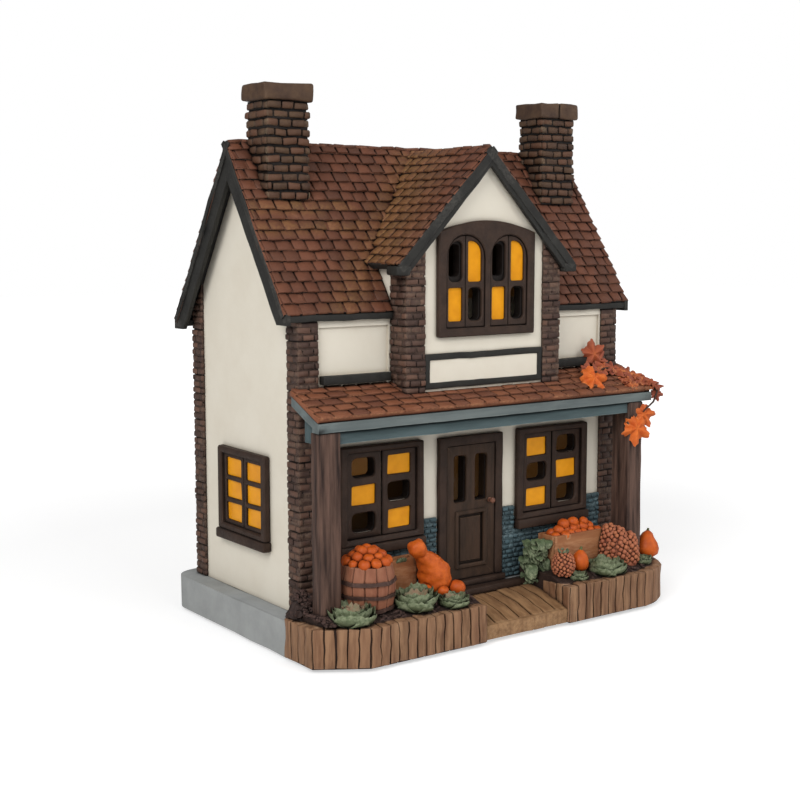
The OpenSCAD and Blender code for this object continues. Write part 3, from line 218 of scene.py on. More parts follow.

# %% [markdown]
# ## Paint on cast resin
# A resin figurine is painted in layers. A base coat is sponged on unevenly. A thin dark wash runs into
# every groove and dries there. Last, a nearly dry brush leaves pale paint on raised edges. The material
# has the same layers: mottling from noise, the wash from ambient occlusion in the grooves, which also
# paints the shade that falls there into the colour, and the dry brush from occlusion measured inside the
# solid, which finds its edges. Polyurethane resin under acrylic paint is a dull dielectric with an IOR of
# about 1.5 and a roughness of about 0.6, and its matt varnish halves the highlight.

# %% Paint recipe


def resin_paint(name, paint, shade, wash_and_shade, brush, other=None, gild=None, spot_mm=9, grain_mm=1.2,
                wash_and_shade_mm=1.4, brush_mm=0.45, brushing=0.6, wash_and_shade_amount=0.9, streak=(1, 1, 1), bump=0.25,
                roughness=0.62):
    """Acrylic on cast resin: a mottled coat, a dark wash with painted shade in the grooves, and dry-brushed
    edges.
    """
    material, tree = new_material(name)
    place = add_node(tree, "ShaderNodeTexCoord")
    drawn = add_node(tree, "ShaderNodeMapping", {"Scale": streak}, {"Vector": place.outputs["Object"]})
    spots = add_node(tree, "ShaderNodeTexNoise",
                     {"Scale": 1 / (spot_mm * MM), "Detail": 4.0, "Roughness": 0.6},
                     {"Vector": drawn.outputs[0]})
    grain = add_node(tree, "ShaderNodeTexNoise",
                     {"Scale": 1 / (grain_mm * MM), "Detail": 5.0, "Roughness": 0.65},
                     {"Vector": drawn.outputs[0]})
    patches = add_node(tree, "ShaderNodeMapRange", {"From Min": 0.36, "From Max": 0.66},
                       {"Value": spots.outputs[0]})
    coat = add_node(tree, "ShaderNodeMixRGB", {"Color1": srgb(paint), "Color2": srgb(shade)},
                    {"Fac": patches.outputs[0]})
    tint = add_node(tree, "ShaderNodeAttribute", attribute_name="tint")
    varied = add_node(tree, "ShaderNodeMixRGB", {"Color2": srgb(other or shade)},
                      {"Fac": tint.outputs["Fac"], "Color1": coat.outputs[0]})
    if gild:
        gold = add_node(tree, "ShaderNodeAttribute", attribute_name="gold")
        thin = add_node(tree, "ShaderNodeMapRange", {"From Min": 0.3, "From Max": 0.75},
                        {"Value": grain.outputs[0]})
        leafed = add_node(tree, "ShaderNodeMath", operation="MULTIPLY")
        tree.links.new(gold.outputs["Fac"], leafed.inputs[0])
        tree.links.new(thin.outputs[0], leafed.inputs[1])
        varied = add_node(tree, "ShaderNodeMixRGB", {"Color2": srgb(gild)},
                          {"Fac": leafed.outputs[0], "Color1": varied.outputs[0]})
    edges = add_node(tree, "ShaderNodeAmbientOcclusion", {"Distance": brush_mm * MM}, inside=True, samples=4)
    edge_part = add_node(tree, "ShaderNodeMapRange",
                         {"From Min": 0.85, "From Max": 0.35, "To Max": brushing},
                         {"Value": edges.outputs["AO"]})
    broken = add_node(tree, "ShaderNodeMapRange", {"From Min": 0.38, "From Max": 0.6},
                      {"Value": grain.outputs[0]})
    brush_part = add_node(tree, "ShaderNodeMath", operation="MULTIPLY")
    tree.links.new(edge_part.outputs[0], brush_part.inputs[0])
    tree.links.new(broken.outputs[0], brush_part.inputs[1])
    brushed = add_node(tree, "ShaderNodeMixRGB", {"Color2": srgb(brush)},
                       {"Fac": brush_part.outputs[0], "Color1": varied.outputs[0]})
    # Painted shade: the wash follows ambient occlusion, so it darkens grooves and corners where shade falls
    # as well as where paint pools
    grooves = add_node(tree, "ShaderNodeAmbientOcclusion", {"Distance": wash_and_shade_mm * MM}, samples=6)
    pooled_wash_and_shade = add_node(tree, "ShaderNodeMapRange",
                      {"From Min": 0.92, "From Max": 0.35, "To Max": wash_and_shade_amount},
                      {"Value": grooves.outputs["AO"]})
    washed_and_shaded = add_node(tree, "ShaderNodeMixRGB", {"Color2": srgb(wash_and_shade)},
                      {"Fac": pooled_wash_and_shade.outputs[0], "Color1": brushed.outputs[0]})
    relief = add_node(tree, "ShaderNodeBump", {"Strength": bump, "Distance": 0.4 * MM},
                      {"Height": grain.outputs[0]})
    sheen = add_node(tree, "ShaderNodeMapRange",
                     {"From Min": 0.3, "From Max": 0.7, "To Min": roughness - 0.1, "To Max": roughness + 0.1},
                     {"Value": grain.outputs[0]})
    skin = add_node(tree, "ShaderNodeBsdfPrincipled", {"IOR": 1.5, "Specular IOR Level": 0.25},
                    {"Base Color": washed_and_shaded.outputs[0], "Roughness": sheen.outputs[0],
                     "Normal": relief.outputs[0]})
    add_node(tree, "ShaderNodeOutputMaterial", links={"Surface": skin.outputs[0]})
    return material


# Cream wall coat: smooth and faintly stained, with painted shade only where it meets the trim
cream_coat = resin_paint("cream_acrylic_on_cast_resin", "ddd6c7", "d8d0c0", "8d7f6c", "eee8db",
                         spot_mm=22, grain_mm=2.4, wash_and_shade_mm=2.2, brushing=0.2, wash_and_shade_amount=0.6, bump=0.12)
# Tile coat: reddish brown with umber tiles among it, and near-black joints from the wash with its painted
# shade
tile_coat = resin_paint("red_brown_tile_acrylic_on_cast_resin", "6f4431", "5f3828", "120906", "9a6a52",
                        other="543528", spot_mm=14, brushing=0.5, wash_and_shade_amount=1.0, gild="946f3f")
# Porch tile coat: the same tiles, paler and more orange from the brush
porch_tile_coat = resin_paint("orange_brown_tile_acrylic_on_cast_resin", "855239", "73442d", "26130c",
                              "b07c58", other="643c2c", spot_mm=14, wash_and_shade_amount=1.0)
# Brick coat: purple brown with a grey-tan brush over the faces
brick_coat = resin_paint("purple_brown_brick_acrylic_on_cast_resin", "4a3730", "392923", "0b0605", "776353",
                         other="664a3d", spot_mm=7, brushing=0.5, wash_and_shade_amount=1.0)
# Chimney coat: darker bricks with an olive-grey brush along their upper edges
chimney_coat = resin_paint("dark_brown_chimney_acrylic_on_cast_resin", "55402f", "3f2d23", "050302", "7d6f58",
                           other="5e4030", spot_mm=7, brushing=0.45, wash_and_shade_amount=1.0)
# Mortar coat: the near-black wash that fills the joints between the bricks
mortar_coat = resin_paint("black_brown_mortar_acrylic_on_cast_resin", "1c130f", "140d0a", "050302", "2c1f19",
                          spot_mm=4, brushing=0.1)
# Wainscot coat: rough teal bricks with pale highlights
teal_brick_coat = resin_paint("teal_brick_acrylic_on_cast_resin", "405257", "334247", "121a1d", "7c8f93",
                              other="4a6067", spot_mm=5, brushing=0.65)
# Trim coat: brown black, worn greyer along the edges
trim_coat = resin_paint("brown_black_trim_acrylic_on_cast_resin", "2a2926", "21201e", "080807", "55524d",
                        spot_mm=8, brushing=0.45)
# Joinery coat: dark brown wood paint, warmer on the edges
joinery_coat = resin_paint("dark_brown_joinery_acrylic_on_cast_resin", "3a2a21", "2d2019", "070404", "6d5743",
                           spot_mm=6, brushing=0.5)
# Door coat: a warmer brown, brushed paler on the mouldings
door_coat = resin_paint("warm_brown_door_acrylic_on_cast_resin", "402e22", "2e2118", "060403", "705a45",
                        spot_mm=3, streak=(1, 1, 0.2), wash_and_shade_amount=1.0)
# Gutter and beam coats: blue greys streaked along the run
gutter_coat = resin_paint("blue_grey_gutter_acrylic_on_cast_resin", "697170", "586060", "20282a", "929a97",
                          spot_mm=5, streak=(0.15, 1, 1), brushing=0.5)
beam_coat = resin_paint("teal_grey_beam_acrylic_on_cast_resin", "516062", "424f51", "161e20", "7d8a89",
                        spot_mm=4, streak=(0.12, 1, 1), brushing=0.5)
# Post coat: purple-brown grain drawn upwards, with rust showing through
post_coat = resin_paint("purple_brown_post_acrylic_on_cast_resin", "624a3f", "281a15", "0f0807", "86695a",
                        other="7a4c34", spot_mm=2.4, streak=(1, 1, 0.07), grain_mm=1.3, bump=0.9,
                        brushing=0.55)
# Plinth coat: plain grey with a faint warm mottling
plinth_coat = resin_paint("grey_plinth_acrylic_on_cast_resin", "9a9c9b", "8e908f", "4b4a48", "aeafae",
                          spot_mm=12, brushing=0.3, bump=0.15)
# Gap coat: the dark brown wash that shows between the fence planks
gap_coat = resin_paint("dark_brown_gap_acrylic_on_cast_resin", "38231a", "2a1912", "0f0805", "4c3326",
                       spot_mm=4, brushing=0.1)
# Fence coat: tan planks grained upwards
fence_coat = resin_paint("tan_fence_acrylic_on_cast_resin", "987557", "62432e", "26150d", "b8987a",
                         other="876148", spot_mm=2.2, streak=(1, 1, 0.1), wash_and_shade_mm=2.0, bump=1.0,
                         brushing=0.5, wash_and_shade_amount=1.0)
# Walk coat: tan boards grained front to back
walk_coat = resin_paint("tan_walk_acrylic_on_cast_resin", "94714f", "755539", "2a180d", "b5926c",
                        other="8f6a4a", spot_mm=3, streak=(1, 0.15, 1), grain_mm=1.3, bump=0.7, brushing=0.4)
print(len(bpy.data.materials), "materials so far")

# %% [markdown]
# ## Finishing a piece
# A finished piece sits at the origin with its place in its mesh, rides on its body, and stands for the
# solids it covers. A slow wobble through the points makes straight edges look carved by hand.

# %% Helpers that shape and finish a piece


def point_layer(bm, name):
    """A layer of one number per point, made if it isn't there yet."""
    layers = bm.verts.layers.float
    return layers.get(name) or layers.new(name)


def rotate(angle, axis):
    """A turn round one of the main axes."""
    return Matrix.Rotation(angle, 4, axis)


def facing(first, second, third):
    """A turn that lays the main axes along three directions."""
    return Matrix((first, second, third)).transposed().to_4x4()


def round_edges(bm, edges, round_mm, segments=1):
    """Rounds edges with a bevel."""
    bmesh.ops.bevel(bm, geom=edges, offset=round_mm, affect="EDGES", segments=segments, profile=0.5,
                    material=-1)


def tinted_cube(bm, place, shade):
    """A unit cube moved and stretched to its place, all of one shade. Returns its points."""
    tint = point_layer(bm, "tint")
    points = bmesh.ops.create_cube(bm, size=1, matrix=place)["verts"]
    for vert in points:
        vert[tint] = shade
    return points


def wobble(bm, size_mm, reach_mm, seed=0.0):
    """Moves every point by smooth noise, so that edges lose their ruler-straight look."""
    for vert in bm.verts:
        vert.co += noise.noise_vector(vert.co / reach_mm + Vector((seed, 0, 0))) * size_mm


def finish_piece(name, bm, coat, stands_for=(), body="house", smooth=40):
    """Turns a bmesh in millimetres into a piece that rides on a body."""
    bmesh.ops.scale(bm, vec=(MM, MM, MM), verts=bm.verts)
    mesh = bpy.data.meshes.new(name)
    bm.to_mesh(mesh)
    bm.free()
    mesh.materials.append(coat)
    mesh.shade_smooth()
    mesh.set_sharp_from_angle(angle=math.radians(smooth))
    piece = add_object(name, mesh)
    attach(piece, body)
    if stands_for:
        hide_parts(*stands_for)
    print(name, len(mesh.polygons), "faces")
    return piece


def paint_node(coat, *nodes):
    """Gives CAD nodes whose shape is right a better material."""
    for node in nodes:
        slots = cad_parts[node].data.materials
        slots.clear()
        slots.append(coat)


def softened(node, name, coat, round_mm=0.5, wave_mm=0.18, cut_mm=6, body="house"):
    """A copy of a CAD node with rounded edges and a hand-carved waver, which stands for it."""
    bm = bmesh.new()
    bm.from_mesh(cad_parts[node].data)
    bmesh.ops.scale(bm, vec=(1 / MM,) * 3, verts=bm.verts)
    bmesh.ops.remove_doubles(bm, verts=bm.verts, dist=0.002)
    bmesh.ops.dissolve_limit(bm, angle_limit=math.radians(1), verts=bm.verts, edges=bm.edges)
    low, high = span(node)
    for axis in range(3):
        for step in range(1, int((high[axis] - low[axis]) / cut_mm)):
            point = Vector((0, 0, 0))
            point[axis] = low[axis] + step * cut_mm
            normal = Vector((0, 0, 0))
            normal[axis] = 1
            everything = bm.verts[:] + bm.edges[:] + bm.faces[:]
            bmesh.ops.bisect_plane(bm, geom=everything, plane_co=point, plane_no=normal)
    corners = [edge for edge in bm.edges if edge.is_manifold and edge.calc_face_angle() > math.radians(30)]
    bmesh.ops.bevel(bm, geom=corners, offset=round_mm, affect="EDGES", segments=2, profile=0.5, material=-1,
                    clamp_overlap=True)
    wobble(bm, wave_mm, 9, seed=len(node))
    return finish_piece(name, bm, coat, stands_for=(node,), body=body)


# %% [markdown]
# ## Roof tiles
# The casting's roof is course upon course of small plain tiles, laid in running bond, each a little
# crooked. A stepped slab could be painted with lines, but real tiles catch light along every edge. So
# each course of the solid gets its own row of thin blocks, a little proud, and the wash with its painted
# shade darkens the slab between them. All blocks of a slope share one bevel at the end, which keeps the
# script quick.

# %% Lay tiles down a slope


def lay_tiles(bm, top, along, down, courses, step, start, end, tile_mm, keep, gild):
    """Rows of tiles on a stepped slope. top is a point on its upper edge and down its whole fall."""
    # Both layers are made before the first tile, since a new layer moves the points' data
    point_layer(bm, "tint")
    gold = point_layer(bm, "gold")
    pace = down.length / courses
    fall = down.normalized()
    out = along.cross(fall)
    out = out if out.z > 0 else -out
    tilt = math.atan(step / pace)
    lie = fall * math.cos(tilt) + out * math.sin(tilt)
    rise = out * math.cos(tilt) - fall * math.sin(tilt)
    thick, proud, joint = 1.6, 0.65, 0.95
    for course in range(courses):
        place = start - tile_mm * (0.5 * (course % 2) + chance.uniform(0, 0.2))
        while place < end:
            width = tile_mm * chance.uniform(0.88, 1.12)
            left, right = max(place, start), min(place + width, end)
            place += width
            centre = top + along * (left + right) / 2 + fall * pace * (course + 0.5)
            if right - left < 1.5 or not keep(centre):
                continue
            centre += out * (proud - step / 2 - thick / 2 + chance.uniform(-0.15, 0.15))
            centre += fall * chance.uniform(-0.25, 0.25)
            turn = rotate(chance.uniform(-0.04, 0.04), "Z")
            lean = facing(along, lie, rise)
            size = Matrix.Diagonal((right - left - joint, pace + 0.3, thick, 1))
            tile = tinted_cube(bm, Matrix.Translation(centre) @ lean @ turn @ size, chance.random() ** 2)
            for vert in tile:
                vert[gold] = gild(vert.co)


def close_tiles(bm, name, coat):
    """Rounds the tiles' edges in one go, makes them waver and finishes the piece."""
    bmesh.ops.recalc_face_normals(bm, faces=bm.faces)
    round_edges(bm, bm.edges[:], 0.26)
    wobble(bm, 0.45, 6)
    return finish_piece(name, bm, coat, smooth=50)


roof_low, roof_high = span("back_roof")
main_courses = 17
tile_step = 0.9
eave_front_y = span("front_left_roof")[0].y
main_run = ridge_y - eave_front_y
deck_thick = 3.5
drawn_pitch = math.radians(56.6)
main_eave_z = span("front_left_roof")[0].z + deck_thick * math.cos(drawn_pitch)
deck_pitch = math.atan((roof_high.z - main_eave_z) / main_run)
ridge_z = roof_high.z + tile_step / math.cos(deck_pitch)
main_pitch = math.atan((ridge_z - main_eave_z) / main_run)

dormer_low, dormer_high = span("dormer_left_roof")
dormer_front_y = dormer_low.y
dormer_span = middle_x - dormer_low.x
dormer_courses = 14
dormer_pitch = math.radians(45.9)
dormer_top_z = dormer_high.z + tile_step / math.cos(dormer_pitch)
dormer_half = span("dormer_right_pier")[1].x - middle_x


def main_roof_z(y):
    """Height of the main roof's tile tips."""
    return ridge_z - math.tan(main_pitch) * abs(y - ridge_y)


def dormer_roof_z(x):
    """Height of the dormer roof's tile tips."""
    return dormer_top_z - math.tan(dormer_pitch) * abs(x - middle_x)


def clear_of_dormer(point):
    """True where a tile of the main roof isn't swallowed by the dormer."""
    off = abs(point.x - middle_x)
    if off > dormer_span:
        return True
    if point.z < dormer_roof_z(middle_x + dormer_span):
        return off > dormer_half + 1
    return point.z > dormer_roof_z(point.x) - 2.5


def above_main_roof(point):
    """True where a tile of the dormer isn't swallowed by the main roof."""
    return point.z > main_roof_z(point.y) - 2.0


def valley_gold(co):
    """Ochre dry-brushing on the main roof, close to the left valley and on two courses at its left end."""
    if co.x > middle_x or co.y > ridge_y:
        return 0.0
    gap = abs(dormer_roof_z(co.x) - main_roof_z(co.y))
    course = int((ridge_z - co.z) / (ridge_z - main_eave_z) * main_courses)
    band = 0.55 if course in (6, 8) and co.x < middle_x - 40 else 0.0
    return max(band, 0.55 - gap / 24)


def dormer_gold(co):
    """Ochre dry-brushing over the dormer's left slope, thinning towards its ridge and its front."""
    if co.x > middle_x:
        return 0.0
    gap = abs(dormer_roof_z(co.x) - main_roof_z(co.y))
    return 0.95 * max(0.0, 1 - gap / 60)


x_axis = Vector((1, 0, 0))
y_axis = Vector((0, 1, 0))
z_axis = Vector((0, 0, 1))
ridge_point = Vector((middle_x, ridge_y, ridge_z))
main_fall = Vector((0, -main_run, main_eave_z - ridge_z))
back_run = roof_high.y - ridge_y
back_eave_z = main_roof_z(roof_high.y)
back_fall = Vector((0, back_run, back_eave_z - ridge_z))
roof_half = (roof_high.x - roof_low.x) / 2
verge_gap = 0.2
tile_half = roof_half - verge_gap
main_tile = 6.8
print("main pitch", round(math.degrees(main_pitch), 1), "eave", round(main_eave_z, 1))


def anywhere(point):
    """Lets every tile stay."""
    return True


def no_gold(co):
    """Leaves the ochre off."""
    return 0.0


front_tiles = bmesh.new()
lay_tiles(front_tiles, ridge_point, x_axis, main_fall, main_courses, tile_step, -tile_half, tile_half,
          main_tile, clear_of_dormer, valley_gold)
close_tiles(front_tiles, "front_roof_tiles", tile_coat)
back_tiles = bmesh.new()
lay_tiles(back_tiles, ridge_point, x_axis, back_fall, main_courses + 1, tile_step, -tile_half, tile_half,
          main_tile, anywhere, no_gold)
close_tiles(back_tiles, "back_roof_tiles", tile_coat)
dormer_tiles = bmesh.new()
dormer_peak = Vector((middle_x, dormer_front_y, dormer_top_z))
dormer_tile = 6.6
for side in (-1, 1):
    dormer_fall = Vector((side * dormer_span, 0, -math.tan(dormer_pitch) * dormer_span))
    lay_tiles(dormer_tiles, dormer_peak, y_axis, dormer_fall, dormer_courses, tile_step, 2 * verge_gap,
              ridge_y - dormer_front_y, dormer_tile, above_main_roof, dormer_gold)
close_tiles(dormer_tiles, "dormer_roof_tiles", tile_coat)

porch_low, porch_high = span("porch_roof")
porch_tiles = bmesh.new()
porch_drop = 9.5
porch_pitch = math.atan(porch_drop / (front_y - porch_low.y))
porch_top_z = porch_high.z + tile_step / math.cos(porch_pitch)
porch_top = Vector((middle_x, front_y, porch_top_z))
porch_fall = Vector((0, porch_low.y - front_y, -porch_drop))
porch_half = (porch_high.x - porch_low.x) / 2 - 0.3
porch_courses = 5
porch_tile = 8.0
lay_tiles(porch_tiles, porch_top, x_axis, porch_fall, porch_courses, tile_step, -porch_half, porch_half,
          porch_tile, anywhere, no_gold)
close_tiles(porch_tiles, "porch_roof_tiles", porch_tile_coat)
for deck in ("front_left_roof", "front_right_roof", "back_roof", "dormer_left_roof", "dormer_right_roof"):
    deck_piece = softened(deck, deck + "_deck", tile_coat, round_mm=0.25, wave_mm=0.35, cut_mm=9)
    deck_piece.data.materials.append(trim_coat)
    # Painted shade: the underside gets the dark trim coat
    for face in deck_piece.data.polygons:
        face.material_index = 1 if face.normal.z < -0.2 else 0
softened("porch_roof", "porch_roof_deck", porch_tile_coat, round_mm=0.25, wave_mm=0.3, cut_mm=9)

# %% [markdown]
# ## Bricks
# Chimneys, corner pillars, dormer piers and wainscot are rough little bricks in uneven courses. They are
# laid like the tiles: blocks a little proud of the solid, bevelled together, with the solid showing dark
# between, from its dark paint and the wash's painted shade.

# %% Lay bricks on a face


def lay_bricks(bm, corner, along, out, width, height, course_mm, brick_mm, proud, keep, rough, joint):
    """Courses of bricks on an upright face, from its lower corner."""
    rows = max(1, round(height / course_mm))
    course = height / rows
    deep = 2.4
    for row in range(rows):
        place = -brick_mm * (0.5 * (row % 2) + chance.uniform(0, 0.15))
        push = chance.uniform(-0.2, 0.25) * rough
        while place < width:
            length = brick_mm * chance.uniform(0.85, 1.15)
            left, right = max(place, -proud * 0.6), min(place + length, width + proud * 0.6)
            place += length
            centre = corner + along * (left + right) / 2 + Vector((0, 0, course * (row + 0.5)))
            if right - left < 1.0 or (keep and not keep(centre)):
                continue
            centre += out * (proud - deep / 2 + push + chance.uniform(-0.2, 0.2) * rough)
            centre.z += chance.uniform(-0.12, 0.12) * rough
            lean = facing(along, out, z_axis)
            turn = rotate(chance.uniform(-0.05, 0.05) * rough, "Y")
            size = Matrix.Diagonal((right - left - 0.6 * joint, deep, course - joint, 1))
            tinted_cube(bm, Matrix.Translation(centre) @ lean @ turn @ size, chance.random() ** 2)


def wrap_bricks(bm, low, high, course_mm, brick_mm, sides="fblr", keep=None, proud=0.5, rough=1.0, joint=0.6):
    """Bricks on the upright faces of a box: front, back, left and right."""
    size = high - low
    faces = {
        "f": (low, x_axis, -y_axis, size.x),
        "b": (Vector((high.x, high.y, low.z)), -x_axis, y_axis, size.x),
        "l": (Vector((low.x, high.y, low.z)), -y_axis, -x_axis, size.y),
        "r": (Vector((high.x, low.y, low.z)), y_axis, x_axis, size.y),
    }
    for side in sides:
        corner, along, out, width = faces[side]
        lay_bricks(bm, corner, along, out, width, size.z, course_mm, brick_mm, proud, keep, rough, joint)


def close_bricks(bm, name, coat, round_mm=0.35, wave_mm=0.3):
    """Rounds and wavers all bricks of a piece together."""
    bmesh.ops.recalc_face_normals(bm, faces=bm.faces)
    round_edges(bm, bm.edges[:], round_mm)
    wobble(bm, wave_mm, 4)
    return finish_piece(name, bm, coat, smooth=60)


# %% Brick the chimneys, pillars, piers and wainscot
chimney_course, chimney_brick = 3.5, 6.6
pillar_course, pillar_brick = 2.8, 5.6


def above_roof(point):
    """True on the part of a chimney that stands out of the roof."""
    return point.z > main_roof_z(point.y) - 1


def on_pier(point):
    """True between the porch roof and the dormer's eave."""
    return porch_high.z - 6 < point.z < dormer_roof_z(point.x) - 5.5


def under_eave(point):
    """True below the main roof's boards."""
    return point.z < main_roof_z(point.y) - 7.5


for side in ("left", "right"):
    stack_low, stack_high = span(side + "_chimney_stack")
    stack = bmesh.new()
    wrap_bricks(stack, stack_low, stack_high, chimney_course, chimney_brick, keep=above_roof, rough=1.5,
                proud=0.9, joint=0.85)
    close_bricks(stack, side + "_chimney_bricks", chimney_coat, round_mm=0.5, wave_mm=0.4)
    pier_low, pier_high = span("dormer_" + side + "_pier")
    pier = bmesh.new()
    wrap_bricks(pier, pier_low, pier_high, pillar_course, pillar_brick, sides="f" + side[0], keep=on_pier,
                proud=0.4, rough=0.9, joint=0.5)
    close_bricks(pier, "dormer_" + side + "_pier_bricks", brick_coat)

pillar_bm = bmesh.new()
pillar_low, pillar_high = span("front_pillars")
back_pillar_y = span("back_pillars")[1].y
pillar_w, pillar_d = 9.3, 8.5
for at_left in (True, False):
    for low_y, high_y, face in ((pillar_low.y, pillar_low.y + pillar_d, "f"),
                                (back_pillar_y - pillar_d, back_pillar_y, "b")):
        low_x = pillar_low.x if at_left else pillar_high.x - pillar_w
        foot = Vector((low_x, low_y, floor_z))
        head = Vector((low_x + pillar_w, high_y, pillar_high.z))
        wrap_bricks(pillar_bm, foot, head, pillar_course, pillar_brick,
                    sides=face + ("l" if at_left else "r"), keep=under_eave, proud=0.4, rough=0.8, joint=0.5)
close_bricks(pillar_bm, "corner_pillar_bricks", brick_coat)
paint_node(brick_coat, "dormer_left_pier", "dormer_right_pier", "front_pillars", "back_pillars")
paint_node(mortar_coat, "left_chimney_stack", "right_chimney_stack")

wainscot_low, wainscot_high = span("porch_wainscot")
wainscot = bmesh.new()
door_low, door_high = span("door_frame")
window_low, window_high = span("front_windows")
# From left to right: beside, under and beside a window, then the same past the door
sill_foot, wainscot_top = window_low.z, wainscot_high.z
wainscot_course, wainscot_brick = 2.1, 3.6
jamb, door_side = 1, 7.5
for low_x, high_x, top in (
    (wainscot_low.x, window_low.x - jamb, wainscot_top),
    (window_low.x - jamb, door_low.x - door_side, sill_foot),
    (door_low.x - door_side, door_low.x - jamb, wainscot_top),
    (door_high.x + jamb, door_high.x + door_side, wainscot_top),
    (door_high.x + door_side, window_high.x + jamb, sill_foot),
    (window_high.x + jamb, wainscot_high.x, wainscot_top),
):
    wrap_bricks(wainscot, Vector((low_x, wainscot_low.y, floor_z)), Vector((high_x, front_y, top)),
                wainscot_course, wainscot_brick, sides="f", rough=1.1, joint=0.5)
close_bricks(wainscot, "wainscot_bricks", teal_brick_coat)
paint_node(teal_brick_coat, "porch_wainscot")

# %% [markdown]
# ## Walls, plinth and trim
# The walls and plinth are plain castings, so the solids stay and only get their paint. The trim was
# carved with a knife, so it is copied, rounded and made to waver.

# %% Paint the walls and soften the trim
paint_node(cream_coat, "front_wall", "back_wall", "left_gable_wall", "right_gable_wall", "dormer_walls")
softened("base_plinth", "rounded_plinth", plinth_coat, round_mm=2.2, wave_mm=0.4, cut_mm=14)
for trim in ("gable_barge_boards", "dormer_barge_boards", "upper_sills"):
    softened(trim, "carved_" + trim, trim_coat, round_mm=0.6, wave_mm=0.3)
softened("porch_gutter", "carved_porch_gutter", gutter_coat, round_mm=0.4, wave_mm=0.2)
softened("porch_beam", "carved_porch_beam", beam_coat, round_mm=0.5, wave_mm=0.25)
for side in ("left", "right"):
    softened(side + "_porch_post", "carved_" + side + "_post", post_coat, round_mm=0.8, wave_mm=0.35)
softened("sign_frame", "carved_sign_frame", trim_coat, round_mm=0.4, wave_mm=0.35)
softened("door_frame", "carved_door_frame", joinery_coat, round_mm=0.5, wave_mm=0.2)
softened("door_step", "carved_door_step", joinery_coat, round_mm=0.6, wave_mm=0.25)
paint_node(cream_coat, "sign_panel")

# %% [markdown]
# ## Flat joinery
# A window leaf is a flat board with openings. It could be modelled as a ring of bars, but then every
# rounded corner needs its own work. Here each opening is only an outline: a square whose corners are
# rounded with a vertex bevel. Filling between the outlines gives the board with its holes, and an
# extrusion gives it thickness.

# %% Outlines and boards
outline_mesh = bpy.data.meshes.new("outline_scratch")


def add_outline(bm, centre_x, foot_z, width, height, corners, arch=0.0):
    """A closed outline in the XZ plane. corners is one radius, or four from the lower left, anticlockwise."""
    radii = corners if isinstance(corners, tuple) else (corners,) * 4
    loop = bmesh.new()
    lift = Matrix.Translation((centre_x, 0, foot_z + height / 2)) @ rotate(math.pi / 2, "X")
    bmesh.ops.create_grid(loop, x_segments=1, y_segments=1, size=0.5,
                          matrix=lift @ Matrix.Diagonal((width, height, 1, 1)))
    if arch:
        top = [edge for edge in loop.edges if min(vert.co.z for vert in edge.verts) > foot_z + height / 2]
        bmesh.ops.subdivide_edges(loop, edges=top, cuts=14)
        for vert in loop.verts:
            if vert.co.z > foot_z + height / 2:
                vert.co.z += arch * (1 - ((vert.co.x - centre_x) / (width / 2)) ** 2)
    places = ((-1, -1), (1, -1), (1, 1), (-1, 1))
    for (side, level), radius in zip(places, radii):
        spot = Vector((centre_x + side * width / 2, 0, foot_z + height / 2 + level * height / 2))
        corner = min(loop.verts, key=lambda vert: (vert.co - spot).length)
        bmesh.ops.bevel(loop, geom=[corner], offset=radius, affect="VERTICES", segments=5, profile=0.5,
                        material=-1)
    bmesh.ops.delete(loop, geom=loop.faces[:], context="FACES_ONLY")
    loop.to_mesh(outline_mesh)
    loop.free()
    bm.from_mesh(outline_mesh)


def close_board(bm, front, back, round_mm=0.3):
    """Fills the outlines, gives the board its thickness between two depths and rounds its rims."""
    bmesh.ops.translate(bm, vec=(0, front, 0), verts=bm.verts)
    bmesh.ops.triangle_fill(bm, use_beauty=True, use_dissolve=False, edges=bm.edges[:])
    made = bmesh.ops.extrude_face_region(bm, geom=bm.faces[:])
    moved = [item for item in made["geom"] if isinstance(item, bmesh.types.BMVert)]
    bmesh.ops.translate(bm, vec=(0, back - front, 0), verts=moved)
    bmesh.ops.recalc_face_normals(bm, faces=bm.faces)
    rims = [edge for edge in bm.edges if edge.is_manifold and edge.calc_face_angle() > math.radians(60)]
    round_edges(bm, rims, round_mm)


def merge_into(bm, other, place=None):
    """Adds another bmesh to this one at a place, and frees it."""
    if place:
        bmesh.ops.transform(other, matrix=place, verts=other.verts)
    other.to_mesh(outline_mesh)
    other.free()
    bm.from_mesh(outline_mesh)


def add_block(bm, low, high, round_mm, segments=2):
    """A block with rounded edges between two corners."""
    block = bmesh.new()
    low, high = Vector(low), Vector(high)
    place = Matrix.Translation((low + high) / 2) @ Matrix.Diagonal((*(high - low), 1))
    bmesh.ops.create_cube(block, size=1, matrix=place)
    round_edges(block, block.edges[:], round_mm, segments)
    merge_into(bm, block)


# %% [markdown]
# ## Eaves and chimney caps
# A dark board closes the roof's lower edge, and short dark ends close the dormer's eaves. The left
# chimney is capped by one heavy stone and the right one by two. All are rounded blocks with a slow waver.

# %% Close the eaves and cap the chimneys


def add_verge(bm, start, end, out, wide):
    """A thin board on the roof's cut edge, just under the tiles, from the ridge down to the eave."""
    under, sunk, proud = 1.0, 0.5, 0.4
    ahead = (end - start).normalized()
    up = out.cross(ahead)
    up = up if up.z > 0 else -up
    centre = (start + end) / 2 - up * (under + wide / 2) + out * (proud - sunk) / 2
    lean = facing(ahead, out, up)
    size = Matrix.Diagonal(((end - start).length, proud + sunk, wide, 1))
    strip = bmesh.new()
    bmesh.ops.create_cube(strip, size=1, matrix=Matrix.Translation(centre) @ lean @ size)
    bmesh.ops.recalc_face_normals(strip, faces=strip.faces)
    round_edges(strip, strip.edges[:], 0.25)
    merge_into(bm, strip)


